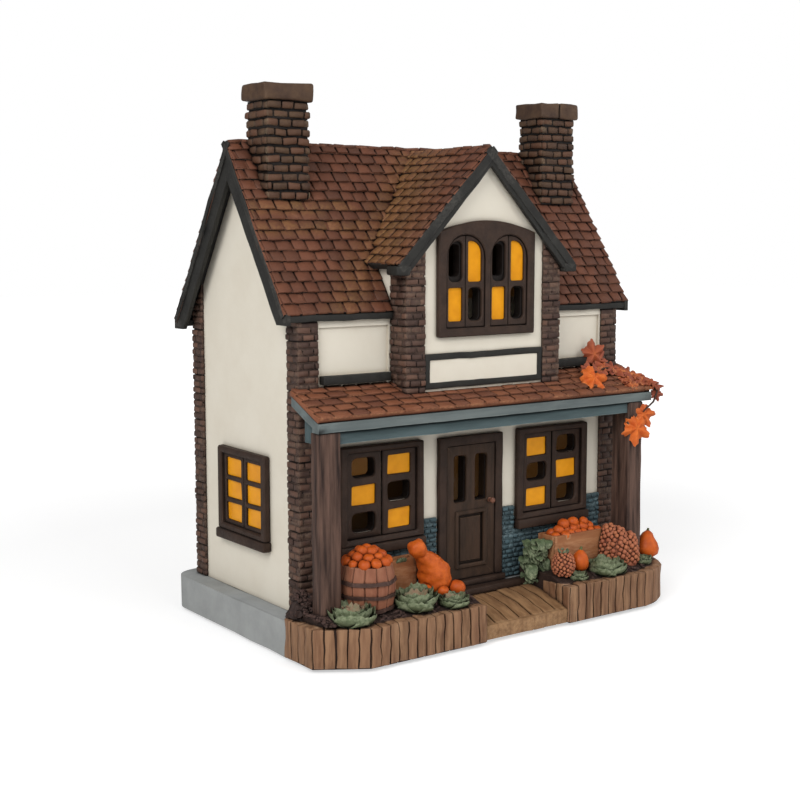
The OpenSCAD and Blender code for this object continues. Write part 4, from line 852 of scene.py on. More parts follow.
fascia = bmesh.new()
board_drop, board_tuck, board_round = 3.4, 0.7, 0.5
end_gap, eave_gap = 0.3, 0.2
gap_half = dormer_half + end_gap
left_end, right_end = roof_low.x + end_gap, roof_high.x - end_gap
front_run = (eave_front_y + eave_gap, front_y + eave_gap)
back_eave_run = (back_y - eave_gap, roof_high.y - eave_gap)
for low_x, high_x, (low_y, high_y), eave_z in (
    (left_end, middle_x - gap_half, front_run, main_eave_z),
    (middle_x + gap_half, right_end, front_run, main_eave_z),
    (left_end, right_end, back_eave_run, back_eave_z),
):
    add_block(fascia, (low_x, low_y, eave_z - board_drop), (high_x, high_y, eave_z - board_tuck), board_round)
for edge_x, out in ((roof_low.x, -x_axis), (roof_high.x, x_axis)):
    peak = Vector((edge_x, ridge_y, ridge_z))
    add_verge(fascia, peak, peak + main_fall, out, 2.4)
    add_verge(fascia, peak, peak + back_fall, out, 2.4)
dormer_eave_z = dormer_roof_z(middle_x + dormer_span)
for side in (-1, 1):
    inner, outer = middle_x + side * (dormer_span - 5.5), middle_x + side * (dormer_span + 1.5)
    add_block(fascia, (min(inner, outer), dormer_front_y - 0.4, dormer_eave_z - 4.6),
              (max(inner, outer), dormer_front_y + 7.5, dormer_eave_z - 0.8), 0.9)
    add_verge(fascia, dormer_peak, Vector((outer, dormer_front_y, dormer_eave_z)), -y_axis, 3.7)
long_edges = [edge for edge in fascia.edges if edge.calc_length() > 20]
bmesh.ops.subdivide_edges(fascia, edges=long_edges, cuts=12, use_grid_fill=True)
wobble(fascia, 0.4, 8)
finish_piece("carved_eave_boards", fascia, trim_coat, ("eave_boards",))

caps = bmesh.new()
cap_low, cap_high = span("chimney_caps")
cap_w = 23.0
seam = 0.45
for low_x, high_x in (
    (cap_low.x, cap_low.x + cap_w),
    (cap_high.x - cap_w, cap_high.x - (cap_w + seam) / 2), (cap_high.x - (cap_w - seam) / 2, cap_high.x),
):
    add_block(caps, (low_x, cap_low.y, cap_low.z), (high_x, cap_high.y, cap_high.z), 0.9, 3)
sides = [edge for edge in caps.edges if edge.calc_length() > 4]
bmesh.ops.subdivide_edges(caps, edges=sides, cuts=2, use_grid_fill=True)
wobble(caps, 0.7, 8)
finish_piece("chimney_cap_stones", caps, chimney_coat, ("chimney_caps",))

# %% [markdown]
# ## Windows
# Each lower window is a stout frame with two casements of three panes set back in it. Some panes are
# amber plastic, and the others are cut right through and look black. The open ones have rounder corners,
# because the knife had to clear them. A sleeve painted near black, as painted shade, lines each open pane
# through the wall's thickness.

# %% Amber with its painted glow, and the painted shade of the sleeves
# Amber sheet: cast acrylic, evenly cloudy, with painted light: a glow of its own, as if lit from inside
amber_sheet_with_painted_glow, tree = new_material("amber_acrylic_sheet_with_painted_glow")
place = add_node(tree, "ShaderNodeTexCoord")
cloud_mm = 6
cloud = add_node(tree, "ShaderNodeTexNoise", {"Scale": 1 / (cloud_mm * MM), "Detail": 2.0},
                 {"Vector": place.outputs["Object"]})
warm = add_node(tree, "ShaderNodeMixRGB", {"Color1": srgb("bd740a"), "Color2": srgb("e69e18")},
                {"Fac": cloud.outputs[0]})
# Painted light: the emission lets the panes glow, though they are no lamp
amber_skin = add_node(tree, "ShaderNodeBsdfPrincipled",
                      {"IOR": 1.49, "Roughness": 0.35, "Specular IOR Level": 0.2, "Emission Strength": 0.15},
                      {"Base Color": warm.outputs[0], "Emission Color": warm.outputs[0]})
add_node(tree, "ShaderNodeOutputMaterial", links={"Surface": amber_skin.outputs[0]})
# Sleeve coat: painted shade, near black with a brown cast, for the dark of the unlit inside
painted_shade_sleeve_coat = resin_paint("black_brown_painted_shade_inside_openings", "1c1410", "130d0a", "060404", "2c201a",
                          spot_mm=4, brushing=0.1, bump=0.1)

# %% Light the lamp inside
glow_data = bpy.data.lights.new("lamp_glow", "POINT")
glow_data.energy = 0.006
glow_data.color = srgb("ffb45a")[:3]
glow_data.shadow_soft_size = 4 * MM
glow_lift = 24
glow = add_object("lamp_glow", glow_data)
glow.location = (middle_x * MM, ridge_y * MM, (floor_z + glow_lift) * MM)

# %% Panes, sleeves and casements
sleeve_back = 4.3


def add_shade_sleeve(bm, place, x, lining, hole, corner, front=0.05):
    """A lining of painted shade behind an open pane. lining and hole are each a foot, a width and a height.
    """
    sleeve = bmesh.new()
    add_outline(sleeve, x, *lining, 0.2)
    add_outline(sleeve, x, *hole, corner)
    close_board(sleeve, front, sleeve_back, 0.1)
    merge_into(bm, sleeve, place)


def add_pane(bm, place, x, foot, width, height):
    """A thin amber sheet that laps its opening on all sides."""
    lap = 0.4
    low = place @ Vector((x - width / 2 - lap, -0.4, foot - lap))
    high = place @ Vector((x + width / 2 + lap, -0.1, foot + height + lap))
    add_block(bm, low, high, 0.15, 1)


def casement_window(frame_bm, amber_bm, sleeve_bm, width, height, place, is_open, fill=0.68, bar=3.2):
    """Frame, two casements and panes of a lower window, drawn at the origin and moved to its place."""
    rail = 3.4
    window = bmesh.new()
    add_outline(window, 0, 0, width, height, 0.8)
    add_outline(window, 0, rail * 0.8, width - 2 * rail, height - 1.6 * rail, 0.8)
    close_board(window, -3.1, 0.1, 0.6)
    wobble(window, 0.5, 9, seed=height)
    merge_into(frame_bm, window, place)
    pitch = (height - 10 - 6) / 3 + 3
    leaf_w = width / 2 - rail - 0.35
    pane_w, pane_h = leaf_w * fill, pitch - bar
    for column, side in enumerate((-1, 1)):
        leaf = bmesh.new()
        leaf_x = side * (leaf_w / 2 + 0.3)
        add_outline(leaf, leaf_x, rail * 0.8, leaf_w, height - 1.6 * rail, 0.4)
        for row in range(3):
            foot = 5 + row * pitch + (pitch - 3 - pane_h) / 2
            radius = 2.2 if is_open(column, row) else 0.7
            add_outline(leaf, leaf_x, foot, pane_w, pane_h, radius)
            if is_open(column, row):
                add_shade_sleeve(sleeve_bm, place, leaf_x, (foot - 0.3, pane_w + 3.4, pane_h + 0.6),
                           (foot + 0.2, pane_w - 0.4, pane_h - 0.4), 2.0)
            else:
                add_pane(amber_bm, place, leaf_x, foot, pane_w, pane_h)
        close_board(leaf, -1.5, -0.05, 0.35)
        wobble(leaf, 0.35, 8, seed=side)
        merge_into(frame_bm, leaf, place)
    sill = bmesh.new()
    add_block(sill, (-width / 2 - 0.6, -4.2, -4), (width / 2 + 0.6, 0.05, 0.2), 0.9)
    wobble(sill, 0.45, 9)
    merge_into(frame_bm, sill, place)


# %% Cut the lower windows
frames = bmesh.new()
amber = bmesh.new()
sleeves = bmesh.new()
sill_high = 4
front_w, window_foot = 42, window_low.z + sill_high
front_h = window_high.z - window_foot
for side in (-1, 1):
    window_x = window_low.x + front_w / 2 if side < 0 else window_high.x - front_w / 2
    window_place = Matrix.Translation((window_x, front_y, window_foot))
    casement_window(frames, amber, sleeves, front_w, front_h, window_place,
                    lambda column, row, first=(0 if side < 0 else 1): (column + row) % 2 == first)
finish_piece("front_window_frames", frames, joinery_coat, ("front_windows",))
finish_piece("front_pane_shade_sleeves", sleeves, painted_shade_sleeve_coat)

side_low, side_high = span("side_windows")
side_frames = bmesh.new()
side_w, side_foot = 40, side_low.z + sill_high
for wall_x, turn in ((gable_left_x, -math.pi / 2), (gable_right_x, math.pi / 2)):
    window_place = Matrix.Translation((wall_x, ridge_y, side_foot)) @ rotate(turn, "Z")
    # No pane is open here, so no bmesh for sleeves is needed
    casement_window(side_frames, amber, None, side_w, side_high.z - side_low.z - sill_high, window_place,
                    lambda column, row: False, fill=0.8, bar=2.0)
finish_piece("side_window_frames", side_frames, joinery_coat, ("side_windows",))

# %% [markdown]
# ## Dormer window
# The upper window has a shallow arched head and two round-headed openings. Each holds a pair of leaves
# with one pane above and one below. The round heads are the same trick as before, with a large radius on
# one corner.

# %% Cut the dormer window
arch_low, arch_high = span("dormer_window")
arch_w = arch_high.x - arch_low.x
arch_rise = 4.8
arch_h = arch_high.z - arch_low.z
dormer_face_y = span("dormer_walls")[0].y
arch_place = Matrix.Translation((middle_x, dormer_face_y, arch_low.z))
arch_bm = bmesh.new()
arch_sleeves = bmesh.new()
board = bmesh.new()
add_outline(board, 0, 0, arch_w, arch_h - arch_rise, (0.8, 0.8, 0.01, 0.01), arch=arch_rise)
pair_w, pair_foot, pair_h = 20.6, 3.6, 38.4
pane_w = 7.4
pair_off = pair_w / 2 + 1.3
hole_w, hole_h = 6.2, 13.4
for side in (-1, 1):
    pair_x = side * pair_off
    add_outline(board, pair_x, pair_foot, pair_w, pair_h, (0.5, 0.5, 9.8, 9.8))
close_board(board, -2.6, 0.1, 0.5)
wobble(board, 0.25, 9)
merge_into(arch_bm, board, arch_place)
for side in (-1, 1):
    pair_x = side * pair_off
    for leaf_side in (-1, 1):
        leaf_w = pair_w / 2 - 0.3
        leaf_x = pair_x + leaf_side * (leaf_w / 2 + 0.15)
        head = (9.6, 0.3) if leaf_side < 0 else (0.3, 9.6)
        leaf = bmesh.new()
        add_outline(leaf, leaf_x, pair_foot + 0.2, leaf_w, pair_h - 0.4, (0.3, 0.3, head[1], head[0]))
        for level, foot, high, hole_foot in ((0, 6.4, 13.8, 6.8), (1, 22.6, 16.8, 24.8)):
            through_pane = (leaf_side < 0) == (level == 1)
            small = 2.4 if through_pane else 0.9
            outer = 5.2 if level else small
            corners = (small, small, small if leaf_side < 0 else outer, outer if leaf_side < 0 else small)
            add_outline(leaf, leaf_x, foot, pane_w, high, corners)
            if through_pane:
                add_shade_sleeve(arch_sleeves, arch_place, leaf_x, (foot - 0.4, pane_w + 1.6, high + 0.8),
                           (hole_foot, hole_w, hole_h), 2.0, front=-0.06)
            else:
                add_pane(amber, arch_place, leaf_x, foot, pane_w, high)
        close_board(leaf, -1.7, -0.05, 0.35)
        merge_into(arch_bm, leaf, arch_place)
finish_piece("dormer_window_frame", arch_bm, joinery_coat, ("dormer_window",))
finish_piece("dormer_pane_shade_sleeves", arch_sleeves, painted_shade_sleeve_coat)
finish_piece("amber_window_panes", amber, amber_sheet_with_painted_glow, ("amber_panes",))

# %% [markdown]
# ## Front door
# The door leaf has two tall open panes over one sunk panel with a moulding round it, and a round copper
# knob on a short neck. The leaf is a board like the casements. The knob is an outline spun round its
# axis.

# %% Lathe helper, door leaf and knob


def lathe(profile, steps):
    """Spins a profile of (radius, height) points round the Z axis."""
    bm = bmesh.new()
    points = [bm.verts.new((radius, 0, height)) for radius, height in profile]
    lines = [bm.edges.new(pair) for pair in zip(points, points[1:])]
    bmesh.ops.spin(bm, geom=points + lines, cent=(0, 0, 0), axis=(0, 0, 1), angle=math.tau, steps=steps,
                   use_merge=True)
    bmesh.ops.remove_doubles(bm, verts=bm.verts, dist=0.002)
    bmesh.ops.recalc_face_normals(bm, faces=bm.faces)
    return bm


step_high = span("door_step")[1].z
leaf_w = 27.0
leaf_h = span("front_door")[1].z - step_high
door_bm = bmesh.new()
door_place = Matrix.Translation((middle_x, front_y, step_high))
leaf = bmesh.new()
add_outline(leaf, 0, 0, leaf_w, leaf_h, 0.2)
door_sleeves = bmesh.new()
for pane_x in (-5.75, 5.75):
    add_outline(leaf, pane_x, 34, 6.8, 20.4, (1.0, 1.0, 1.6, 1.6))
    add_shade_sleeve(door_sleeves, door_place, pane_x, (28.2, 8.0, 27.2), (34.2, 6.4, 20), 1.0)
panel_w, panel_h, panel_foot = 16.0, 24.0, 5.5
add_outline(leaf, 0, panel_foot, panel_w, panel_h, 0.3)
close_board(leaf, -1.7, 0.02, 0.4)
merge_into(door_bm, leaf, door_place)
for inset, front, ring in ((-0.8, -2.5, 1.9), (0.9, -0.5, 0.0), (2.2, -1.5, 0.0)):
    moulding = bmesh.new()
    add_outline(moulding, 0, panel_foot + inset, panel_w - 2 * inset, panel_h - 2 * inset, 0.3)
    if ring:
        inner = inset + ring
        add_outline(moulding, 0, panel_foot + inner, panel_w - 2 * inner, panel_h - 2 * inner, 0.3)
    close_board(moulding, front, 0.0, 0.45)
    merge_into(door_bm, moulding, door_place)
wobble(door_bm, 0.2, 8)
finish_piece("door_leaf", door_bm, door_coat, ("front_door",))
finish_piece("door_pane_shade_sleeves", door_sleeves, painted_shade_sleeve_coat)

# Copper coat: metallic brown paint, brighter on the crown of the knob
copper_coat = resin_paint("copper_acrylic_on_cast_resin", "7c5240", "5f3d30", "1f120d", "c08a68", spot_mm=2,
                          roughness=0.4)
knob_profile = ((0, 0), (1.1, 0), (1.1, 0.4), (0.6, 0.6), (0.6, 1.2), (1.0, 1.5), (1.3, 2.2), (1.1, 2.8),
                (0.6, 3.1), (0, 3.2))
knob = lathe(knob_profile, 16)
knob_lift = 33.5
knob_place = Matrix.Translation((middle_x + leaf_w / 2 - 3.2, front_y - 1.7, step_high + knob_lift))
bmesh.ops.transform(knob, matrix=knob_place @ rotate(math.pi / 2, "X"), verts=knob.verts)
finish_piece("door_knob", knob, copper_coat)

# %% [markdown]
# ## Fence
# The yard is held by a low fence of upright planks, cut by hand: no two are the same width, and their
# tops rise and fall. The solid stays behind as the dark between the planks. A walk along the fence's
# outline drops a rounded block every four or five millimetres, turned to face outwards.

# %% Set up the planks


def stand_planks(bm, path, plank_mm, foot, top, thick=4.8):
    """Planks along a path of points, facing to the right of its direction."""
    for start, end in zip(path, path[1:]):
        run = end - start
        count = max(1, round(run.length / plank_mm))
        ahead = run.normalized()
        out = Vector((ahead.y, -ahead.x, 0))
        for index in range(count):
            width = run.length / count
            centre = start + ahead * width * (index + 0.5)
            crest = top + chance.uniform(0.1, 0.9)
            centre += out * (chance.uniform(0.6, 0.9) - thick / 2)
            centre.z = (foot + crest) / 2
            lean = facing(ahead, out, z_axis)
            turn = rotate(chance.uniform(-0.03, 0.03), "Y") @ rotate(chance.uniform(-0.05, 0.05), "Z")
            size = Matrix.Diagonal((width - chance.uniform(0.25, 0.5), thick, crest - foot, 1))
            tinted_cube(bm, Matrix.Translation(centre) @ lean @ turn @ size, 0.5 * chance.random())


def close_planks(bm, name, coat):
    """Rounds the planks, cuts them across so that they can waver, and finishes the piece."""
    bmesh.ops.recalc_face_normals(bm, faces=bm.faces)
    round_edges(bm, bm.edges[:], 0.4, 2)
    long_edges = [edge for edge in bm.edges if edge.calc_length() > 8]
    bmesh.ops.subdivide_edges(bm, edges=long_edges, cuts=3, use_grid_fill=True)
    wobble(bm, 0.6, 3.5)
    return finish_piece(name, bm, coat, smooth=50)


left_low, left_high = span("left_fence")
right_low, right_high = span("right_fence")
fence_top = left_high.z
fence_foot = left_low.z + 0.3
chamfer = Vector((19, 12, 0))
left_planks = bmesh.new()
stand_planks(left_planks, [
    Vector((left_low.x, left_high.y, 0)), Vector((left_low.x, left_low.y + chamfer.y, 0)),
    Vector((left_low.x + chamfer.x, left_low.y, 0)), Vector((left_high.x, left_low.y, 0)),
], 4.5, fence_foot, fence_top)
close_planks(left_planks, "left_fence_planks", fence_coat)
corner_r = 25
turn_x, turn_y = right_high.x - corner_r, right_low.y + corner_r
corner_path = []
for degrees in range(0, 91, 15):
    angle = math.radians(degrees)
    corner_path.append(Vector((turn_x + corner_r * math.sin(angle), turn_y - corner_r * math.cos(angle), 0)))
right_planks = bmesh.new()
return_deep = 17
gate_path = [Vector((right_low.x, right_low.y + return_deep, 0)), Vector((right_low.x, right_low.y, 0))]
right_end_point = Vector((right_high.x, right_high.y, 0))
stand_planks(right_planks, gate_path + corner_path[:1], 4.7, fence_foot, fence_top)
stand_planks(right_planks, corner_path + [right_end_point], 4.7, fence_foot, fence_top)
close_planks(right_planks, "right_fence_planks", fence_coat)
paint_node(gap_coat, "left_fence", "right_fence")

# %% [markdown]
# ## Walkway and step
# Seven boards run from the fence up to the door, humped a little in the middle of their rise. Each board
# is a long block, cut across in slices so that it can bend. A plain lip closes their front ends, and a
# lower step stands on their upper ends.

# %% Lay the walkway
walk_low, walk_high = span("walkway")
walk_bm = bmesh.new()
boards, slices, board_gap = 7, 8, 0.5
board_w = (walk_high.x - walk_low.x) / boards
deep = walk_high.y - walk_low.y
front_z, back_z, hump = 7.5, 14.0, 1.3
for index in range(boards):
    board = bmesh.new()
    centre = Matrix.Translation((walk_low.x + board_w * (index + 0.5), walk_low.y + deep / 2, 0.5))
    bmesh.ops.create_cube(board, size=1, matrix=centre @ Matrix.Diagonal((board_w - board_gap, deep, 1, 1)))
    for cut in range(1, slices):
        bmesh.ops.bisect_plane(board, geom=board.verts[:] + board.edges[:] + board.faces[:],
                               plane_co=(0, walk_low.y + deep * cut / slices, 0), plane_no=y_axis)
    drop = chance.uniform(-0.3, 0.3)
    for vert in board.verts:
        part = (vert.co.y - walk_low.y) / deep
        high = front_z + (back_z - front_z) * part + hump * math.sin(math.pi * part) + drop
        vert.co.x += 0.8 * math.sin(3 * part + 0.4)
        vert.co.z = high if vert.co.z > 0.5 else walk_low.z + (0.2 if part < 0.15 else 5)
    corners = [edge for edge in board.edges if edge.calc_face_angle() > math.radians(50)]
    round_edges(board, corners, 0.45, 2)
    merge_into(walk_bm, board)
lip_low = (walk_low.x + 0.5, walk_low.y - 0.3, walk_low.z + 0.2)
lip_high = (walk_high.x - 0.2, walk_low.y + 2.6, front_z + 0.5)
add_block(walk_bm, lip_low, lip_high, 0.8)
wobble(walk_bm, 0.4, 5)
finish_piece("walkway_boards", walk_bm, walk_coat, ("walkway",))

lower_step = bmesh.new()
step_low, step_top = span("door_step")
left_reach, right_reach, front_reach = 1, 9, 4.5
add_block(lower_step, (step_low.x - left_reach, step_low.y - front_reach, floor_z - 2.5),
          (step_top.x + right_reach, step_low.y + 0.4, floor_z + 0.6), 0.7)
wobble(lower_step, 0.3, 7)
finish_piece("lower_door_step", lower_step, joinery_coat)

# %% [markdown]
# ## Soil and mulch
# The beds are dark soil strewn with shredded bark, heaped against the left corner of the house. The solid
# gives the bed, and a few hundred small chips lie on it every which way.

# %% Strew the mulch
soil_coat = resin_paint("dark_soil_acrylic_on_cast_resin", "3a2b26", "2a1e1a", "0c0807", "6a5048",
                        other="4c3934", spot_mm=3, bump=0.8, brushing=0.5)


def soil_height(x, y):
    """Top of the soil, which falls to the fence and is heaped at the left corner."""
    slope = min(1.0, max(0.0, (y - yard_front - 3.5) / 9))
    flat = fence_top - 0.4 + (soil_z - fence_top + 0.4) * slope
    heap = 8.0 * max(0.0, 1 - math.hypot((x - left_low.x - 6.5) / 9, (y - front_y + 5) / 9))
    return flat + heap


def strew(bm, count, low_x, high_x, low_y, high_y):
    """Bark chips at random places and turns."""
    for _ in range(count):
        x, y = chance.uniform(low_x, high_x), chance.uniform(low_y, high_y)
        turn = rotate(chance.uniform(0, math.pi), "Z") @ rotate(chance.uniform(-0.6, 0.6), "Y")
        length, width, thick = chance.uniform(1.6, 3.6), chance.uniform(0.8, 1.4), chance.uniform(0.7, 1.2)
        lift = Matrix.Translation((x, y, soil_height(x, y) + chance.uniform(-0.1, 0.5)))
        tinted_cube(bm, lift @ turn @ Matrix.Diagonal((length, width, thick, 1)), chance.random())


mulch = bmesh.new()
bed_left, walk_left, walk_right, bed_right = -82, -21, 31, 80
strew(mulch, 260, left_low.x + 3.5, bed_left - 1, front_y - 26, front_y - 1.5)
strew(mulch, 330, bed_left, walk_left, front_y - 30, front_y - 2)
strew(mulch, 250, walk_right, bed_right, front_y - 30, front_y - 2)
strew(mulch, 60, bed_right, right_high.x - 4.5, front_y - 20, front_y - 2)
round_edges(mulch, mulch.edges[:], 0.2)
finish_piece("bark_mulch", mulch, soil_coat)
heap = bmesh.new()
heap_place = Matrix.Translation((left_low.x + 7, front_y - 5.5, soil_z - 1.5))
heap_size = Matrix.Diagonal((6.2, 6.6, 7.6, 1))
bmesh.ops.create_uvsphere(heap, u_segments=48, v_segments=28, radius=1, matrix=heap_place @ heap_size)
wobble(heap, 2.4, 1.8)
finish_piece("corner_mulch_heap", heap, soil_coat)
paint_node(soil_coat, "soil_beds")

# %% [markdown]
# ## Barrel
# The barrel is a ring of staves held by dark hoops. Spinning its outline once round gives flat staves,
# and the bevelled edges between them are pushed in to make the seams.

# %% Cooper the barrel
barrel_coat = resin_paint("pink_tan_barrel_acrylic_on_cast_resin", "99664d", "804e39", "2c1710", "be8d70",
                          other="8f6250", spot_mm=4, streak=(1, 1, 0.2), bump=0.5)
hoop_coat = resin_paint("dark_hoop_acrylic_on_cast_resin", "4a352e", "3a2822", "120a08", "6f544a", spot_mm=4)
barrel_low, barrel_high = span("barrel")
barrel_centre = (barrel_low + barrel_high) / 2
barrel_r = (barrel_high.x - barrel_low.x) / 2
barrel_h = barrel_high.z - barrel_low.z
staves = 14


def barrel_radius(part):
    """Bulge of the barrel from its foot to its rim."""
    return barrel_r * (0.86 + 0.12 * math.sin(math.pi * part))


profile = [(0.0, 0.2)] + [(barrel_radius(i / 8), barrel_h * i / 8) for i in range(9)]
rim_r, lid_z = barrel_radius(1), barrel_h - 1.6
profile += [(rim_r - 1.4, barrel_h), (rim_r - 1.6, lid_z), (0.0, lid_z)]
barrel_bm = lathe(profile, staves)
outside = 0.8 * barrel_r
seams = [
    edge for edge in barrel_bm.edges
    if abs(edge.verts[0].co.z - edge.verts[1].co.z) > 1
    and min(vert.co.xy.length for vert in edge.verts) > outside
]
round_edges(barrel_bm, seams, 0.5, 2)
for vert in barrel_bm.verts:
    turn = math.atan2(vert.co.y, vert.co.x) / math.tau * staves
    if vert.co.xy.length > outside and abs(turn - round(turn)) < 0.02:
        vert.co.xy *= 0.955
wobble(barrel_bm, 0.35, 6)
bmesh.ops.translate(barrel_bm, vec=(barrel_centre.x, barrel_centre.y, barrel_low.z), verts=barrel_bm.verts)
finish_piece("barrel_staves", barrel_bm, barrel_coat, ("barrel",))
hoops = bmesh.new()
for part in (0.04, 0.34, 0.66):
    near, far = barrel_radius(part - 0.04), barrel_radius(part + 0.04)
    low_z, high_z = barrel_h * part - 0.7, barrel_h * part + 0.7
    inner = (near - 0.7, low_z)
    hoop = lathe((inner, (near + 0.3, low_z), (far + 0.3, high_z), (far - 0.7, high_z), inner), 28)
    wobble(hoop, 0.7, 5, seed=part)
    merge_into(hoops, hoop, Matrix.Translation((barrel_centre.x, barrel_centre.y, barrel_low.z)))
bmesh.ops.remove_doubles(hoops, verts=hoops.verts, dist=0.002)
finish_piece("barrel_hoops", hoops, hoop_coat)

# %% [markdown]
# ## Pumpkins and fruit
# The barrel and the crate are heaped with small orange pumpkins, little more than balls with shallow
# ribs. Each starts as a sphere, is flattened, and has its ribs pressed in along its meridians.

# %% Heap the pumpkins
orange_coat = resin_paint("orange_acrylic_on_cast_resin", "c95c19", "ad4a12", "5a220c", "e8923f",
                          other="a8461a", spot_mm=4, wash_and_shade_mm=1.2, brush_mm=0.3, brushing=0.3, roughness=0.5)


def add_pumpkin(bm, centre, radius, flat=0.88, ribs=8, depth=0.07):
    """A ribbed ball with dimples at its poles."""
    tint = point_layer(bm, "tint")
    ball = bmesh.ops.create_uvsphere(bm, u_segments=2 * ribs, v_segments=8, radius=radius)["verts"]
    lean = rotate(chance.uniform(0, math.pi), "Z") @ rotate(chance.uniform(0, 0.7), "X")
    shade = chance.random() ** 2 * 0.7
    for vert in ball:
        angle = math.atan2(vert.co.y, vert.co.x)
        vert.co.xy *= 1 - depth * (0.5 + 0.5 * math.cos(angle * ribs))
        vert.co.z *= flat * (1 - 0.25 * max(0.0, 1 - vert.co.xy.length / (0.4 * radius)))
        vert[tint] = shade
    bmesh.ops.transform(bm, matrix=Matrix.Translation(centre) @ lean, verts=ball)


heap_pumpkins = bmesh.new()
rim_z = barrel_high.z
for ring, (count, ring_r, level) in enumerate(((11, 8.2, 0.9), (8, 5.6, 3.0), (5, 2.9, 4.8), (1, 0.0, 5.9))):
    for index in range(count):
        angle = math.tau * (index + 0.4 * ring) / count
        centre = Vector((barrel_centre.x + ring_r * math.cos(angle),
                         barrel_centre.y + ring_r * math.sin(angle),
                         rim_z + level + chance.uniform(-0.3, 0.4)))
        add_pumpkin(heap_pumpkins, centre, chance.uniform(2.1, 2.7))
finish_piece("barrel_pumpkin_heap", heap_pumpkins, orange_coat, ("barrel_pumpkins",), smooth=80)

# %% [markdown]
# ## Crates
# Two terracotta-tan crates stand under the windows. Their boards are thick and slightly splayed, with a
# paler rim. Four boards and a bottom make each one.

# %% Nail the crates together
crate_coat = resin_paint("terracotta_tan_crate_acrylic_on_cast_resin", "9e6a45", "885434", "3a2013", "c2926c",
                         other="a37358", spot_mm=5, streak=(0.25, 1, 1), bump=0.35)
crate_low, crate_high = span("crates")
crates = bmesh.new()


def add_crate(bm, low, high, thick=1.7):
    """Four boards with rounded edges round a sunk bottom."""
    add_block(bm, low, (high[0], low[1] + thick, high[2]), 0.45)
    add_block(bm, (low[0], high[1] - thick, low[2]), high, 0.45)
    add_block(bm, low, (low[0] + thick, high[1], high[2]), 0.45)
    add_block(bm, (high[0] - thick, low[1], low[2]), high, 0.45)
    add_block(bm, (low[0] + 0.3, low[1] + 0.3, low[2]), (high[0] - 0.3, high[1] - 0.3, high[2] - 3), 0.3)


crate_w, crate_d = 32.0, 11.0
small_w, small_d = 0.53 * crate_w, 0.54 * crate_d
small_front = front_y - 0.188 * yard_depth - small_d / 2
right_crate = (Vector((crate_high.x - crate_w, crate_low.y, soil_z)),
               Vector((crate_high.x, crate_low.y + crate_d, crate_high.z)))
left_crate = (Vector((crate_low.x, small_front, soil_z)),
              Vector((crate_low.x + small_w, small_front + small_d, crate_high.z)))
add_crate(crates, *right_crate)
add_crate(crates, *left_crate)
wobble(crates, 0.35, 8)
finish_piece("tan_crates", crates, crate_coat, ("crates",))

crate_fruit = bmesh.new()
for row, (count, level, deep) in enumerate(((7, -0.9, -2.6), (7, -0.7, 2.4), (6, 1.3, -0.4), (3, 3.4, -0.2))):
    for index in range(count):
        along = ((index + 0.5) / count - 0.5) * (28 - 3 * row)
        centre = Vector(((right_crate[0].x + right_crate[1].x) / 2 + along + chance.uniform(-0.4, 0.4),
                         (right_crate[0].y + right_crate[1].y) / 2 + deep + chance.uniform(-0.6, 0.6),
                         crate_high.z + level + chance.uniform(-0.4, 0.4)))
        add_pumpkin(crate_fruit, centre, chance.uniform(2.1, 2.9))
finish_piece("crate_fruit_heap", crate_fruit, orange_coat, ("crate_fruit",), smooth=80)

# %% [markdown]
# ## Gourds
# A gourd is a tube of changing thickness along a bent line. Rings of points stand square to the line, and
# bridging them one after the other gives the skin.

# %% Grow the gourds


def sweep(bm, path, radii, sides=14):
    """A closed skin over rings along a path."""
    rings = []
    for index, point in enumerate(path):
        ahead = path[min(index + 1, len(path) - 1)] - path[max(index - 1, 0)]
        place = Matrix.Translation(point) @ ahead.to_track_quat("Z", "Y").to_matrix().to_4x4()
        ends = index in (0, len(path) - 1)
        made = bmesh.ops.create_circle(bm, cap_ends=ends, segments=sides, radius=radii[index], matrix=place)
        rings.append(list(dict.fromkeys(edge for vert in made["verts"] for edge in vert.link_edges)))
    for near, far in zip(rings, rings[1:]):
        bmesh.ops.bridge_loops(bm, edges=near + far)


def ground(x, y):
    """A point on the soil, from shares of half the planted width and of the yard's depth."""
    spot = Vector((middle_x + x * yard_half, front_y - y * yard_depth, 0))
    spot.z = soil_height(spot.x, spot.y)
    return spot


# Gourd coat: the pumpkins' orange over a warty skin, with brown in its hollows
warty_coat = resin_paint("warty_orange_acrylic_on_cast_resin", "cb601e", "b04c15", "5e260e", "e8944a",
                         other="a8461a", spot_mm=3, grain_mm=2.6, wash_and_shade_mm=1.2, brush_mm=0.3, brushing=0.3,
                         bump=1.0, roughness=0.5)
crook = bmesh.new()
crook_root = ground(-0.327, 0.406)
crook_path = ((0.3, 0.2), (0.3, 1.8), (0.2, 4.2), (-0.3, 6.8), (-1.4, 9.4), (-2.8, 11.6), (-4.3, 13.4),
              (-5.8, 14.9), (-7.2, 16.3), (-8.4, 17.7), (-9.2, 18.7), (-10.1, 19.8), (-11.1, 21.0),
              (-12.0, 22.1), (-12.6, 22.9))
crook_radii = (3.2, 5.6, 6.8, 7.0, 6.6, 5.7, 4.8, 4.0, 3.4, 3.1, 3.4, 3.8, 3.7, 2.8, 1.2)
ribbed = [radius * (1 + 0.025 * (-1) ** index) for index, radius in enumerate(crook_radii)]
sweep(crook, [crook_root + Vector((x, 0.15 * x, z)) for x, z in crook_path], ribbed, sides=20)
bmesh.ops.recalc_face_normals(crook, faces=crook.faces)
bmesh.ops.subdivide_edges(crook, edges=crook.edges[:], cuts=1, use_grid_fill=True, smooth=0.6)
wobble(crook, 0.7, 3.0)
finish_piece("crookneck_gourd_body", crook, warty_coat, ("crookneck_gourd",), smooth=80)

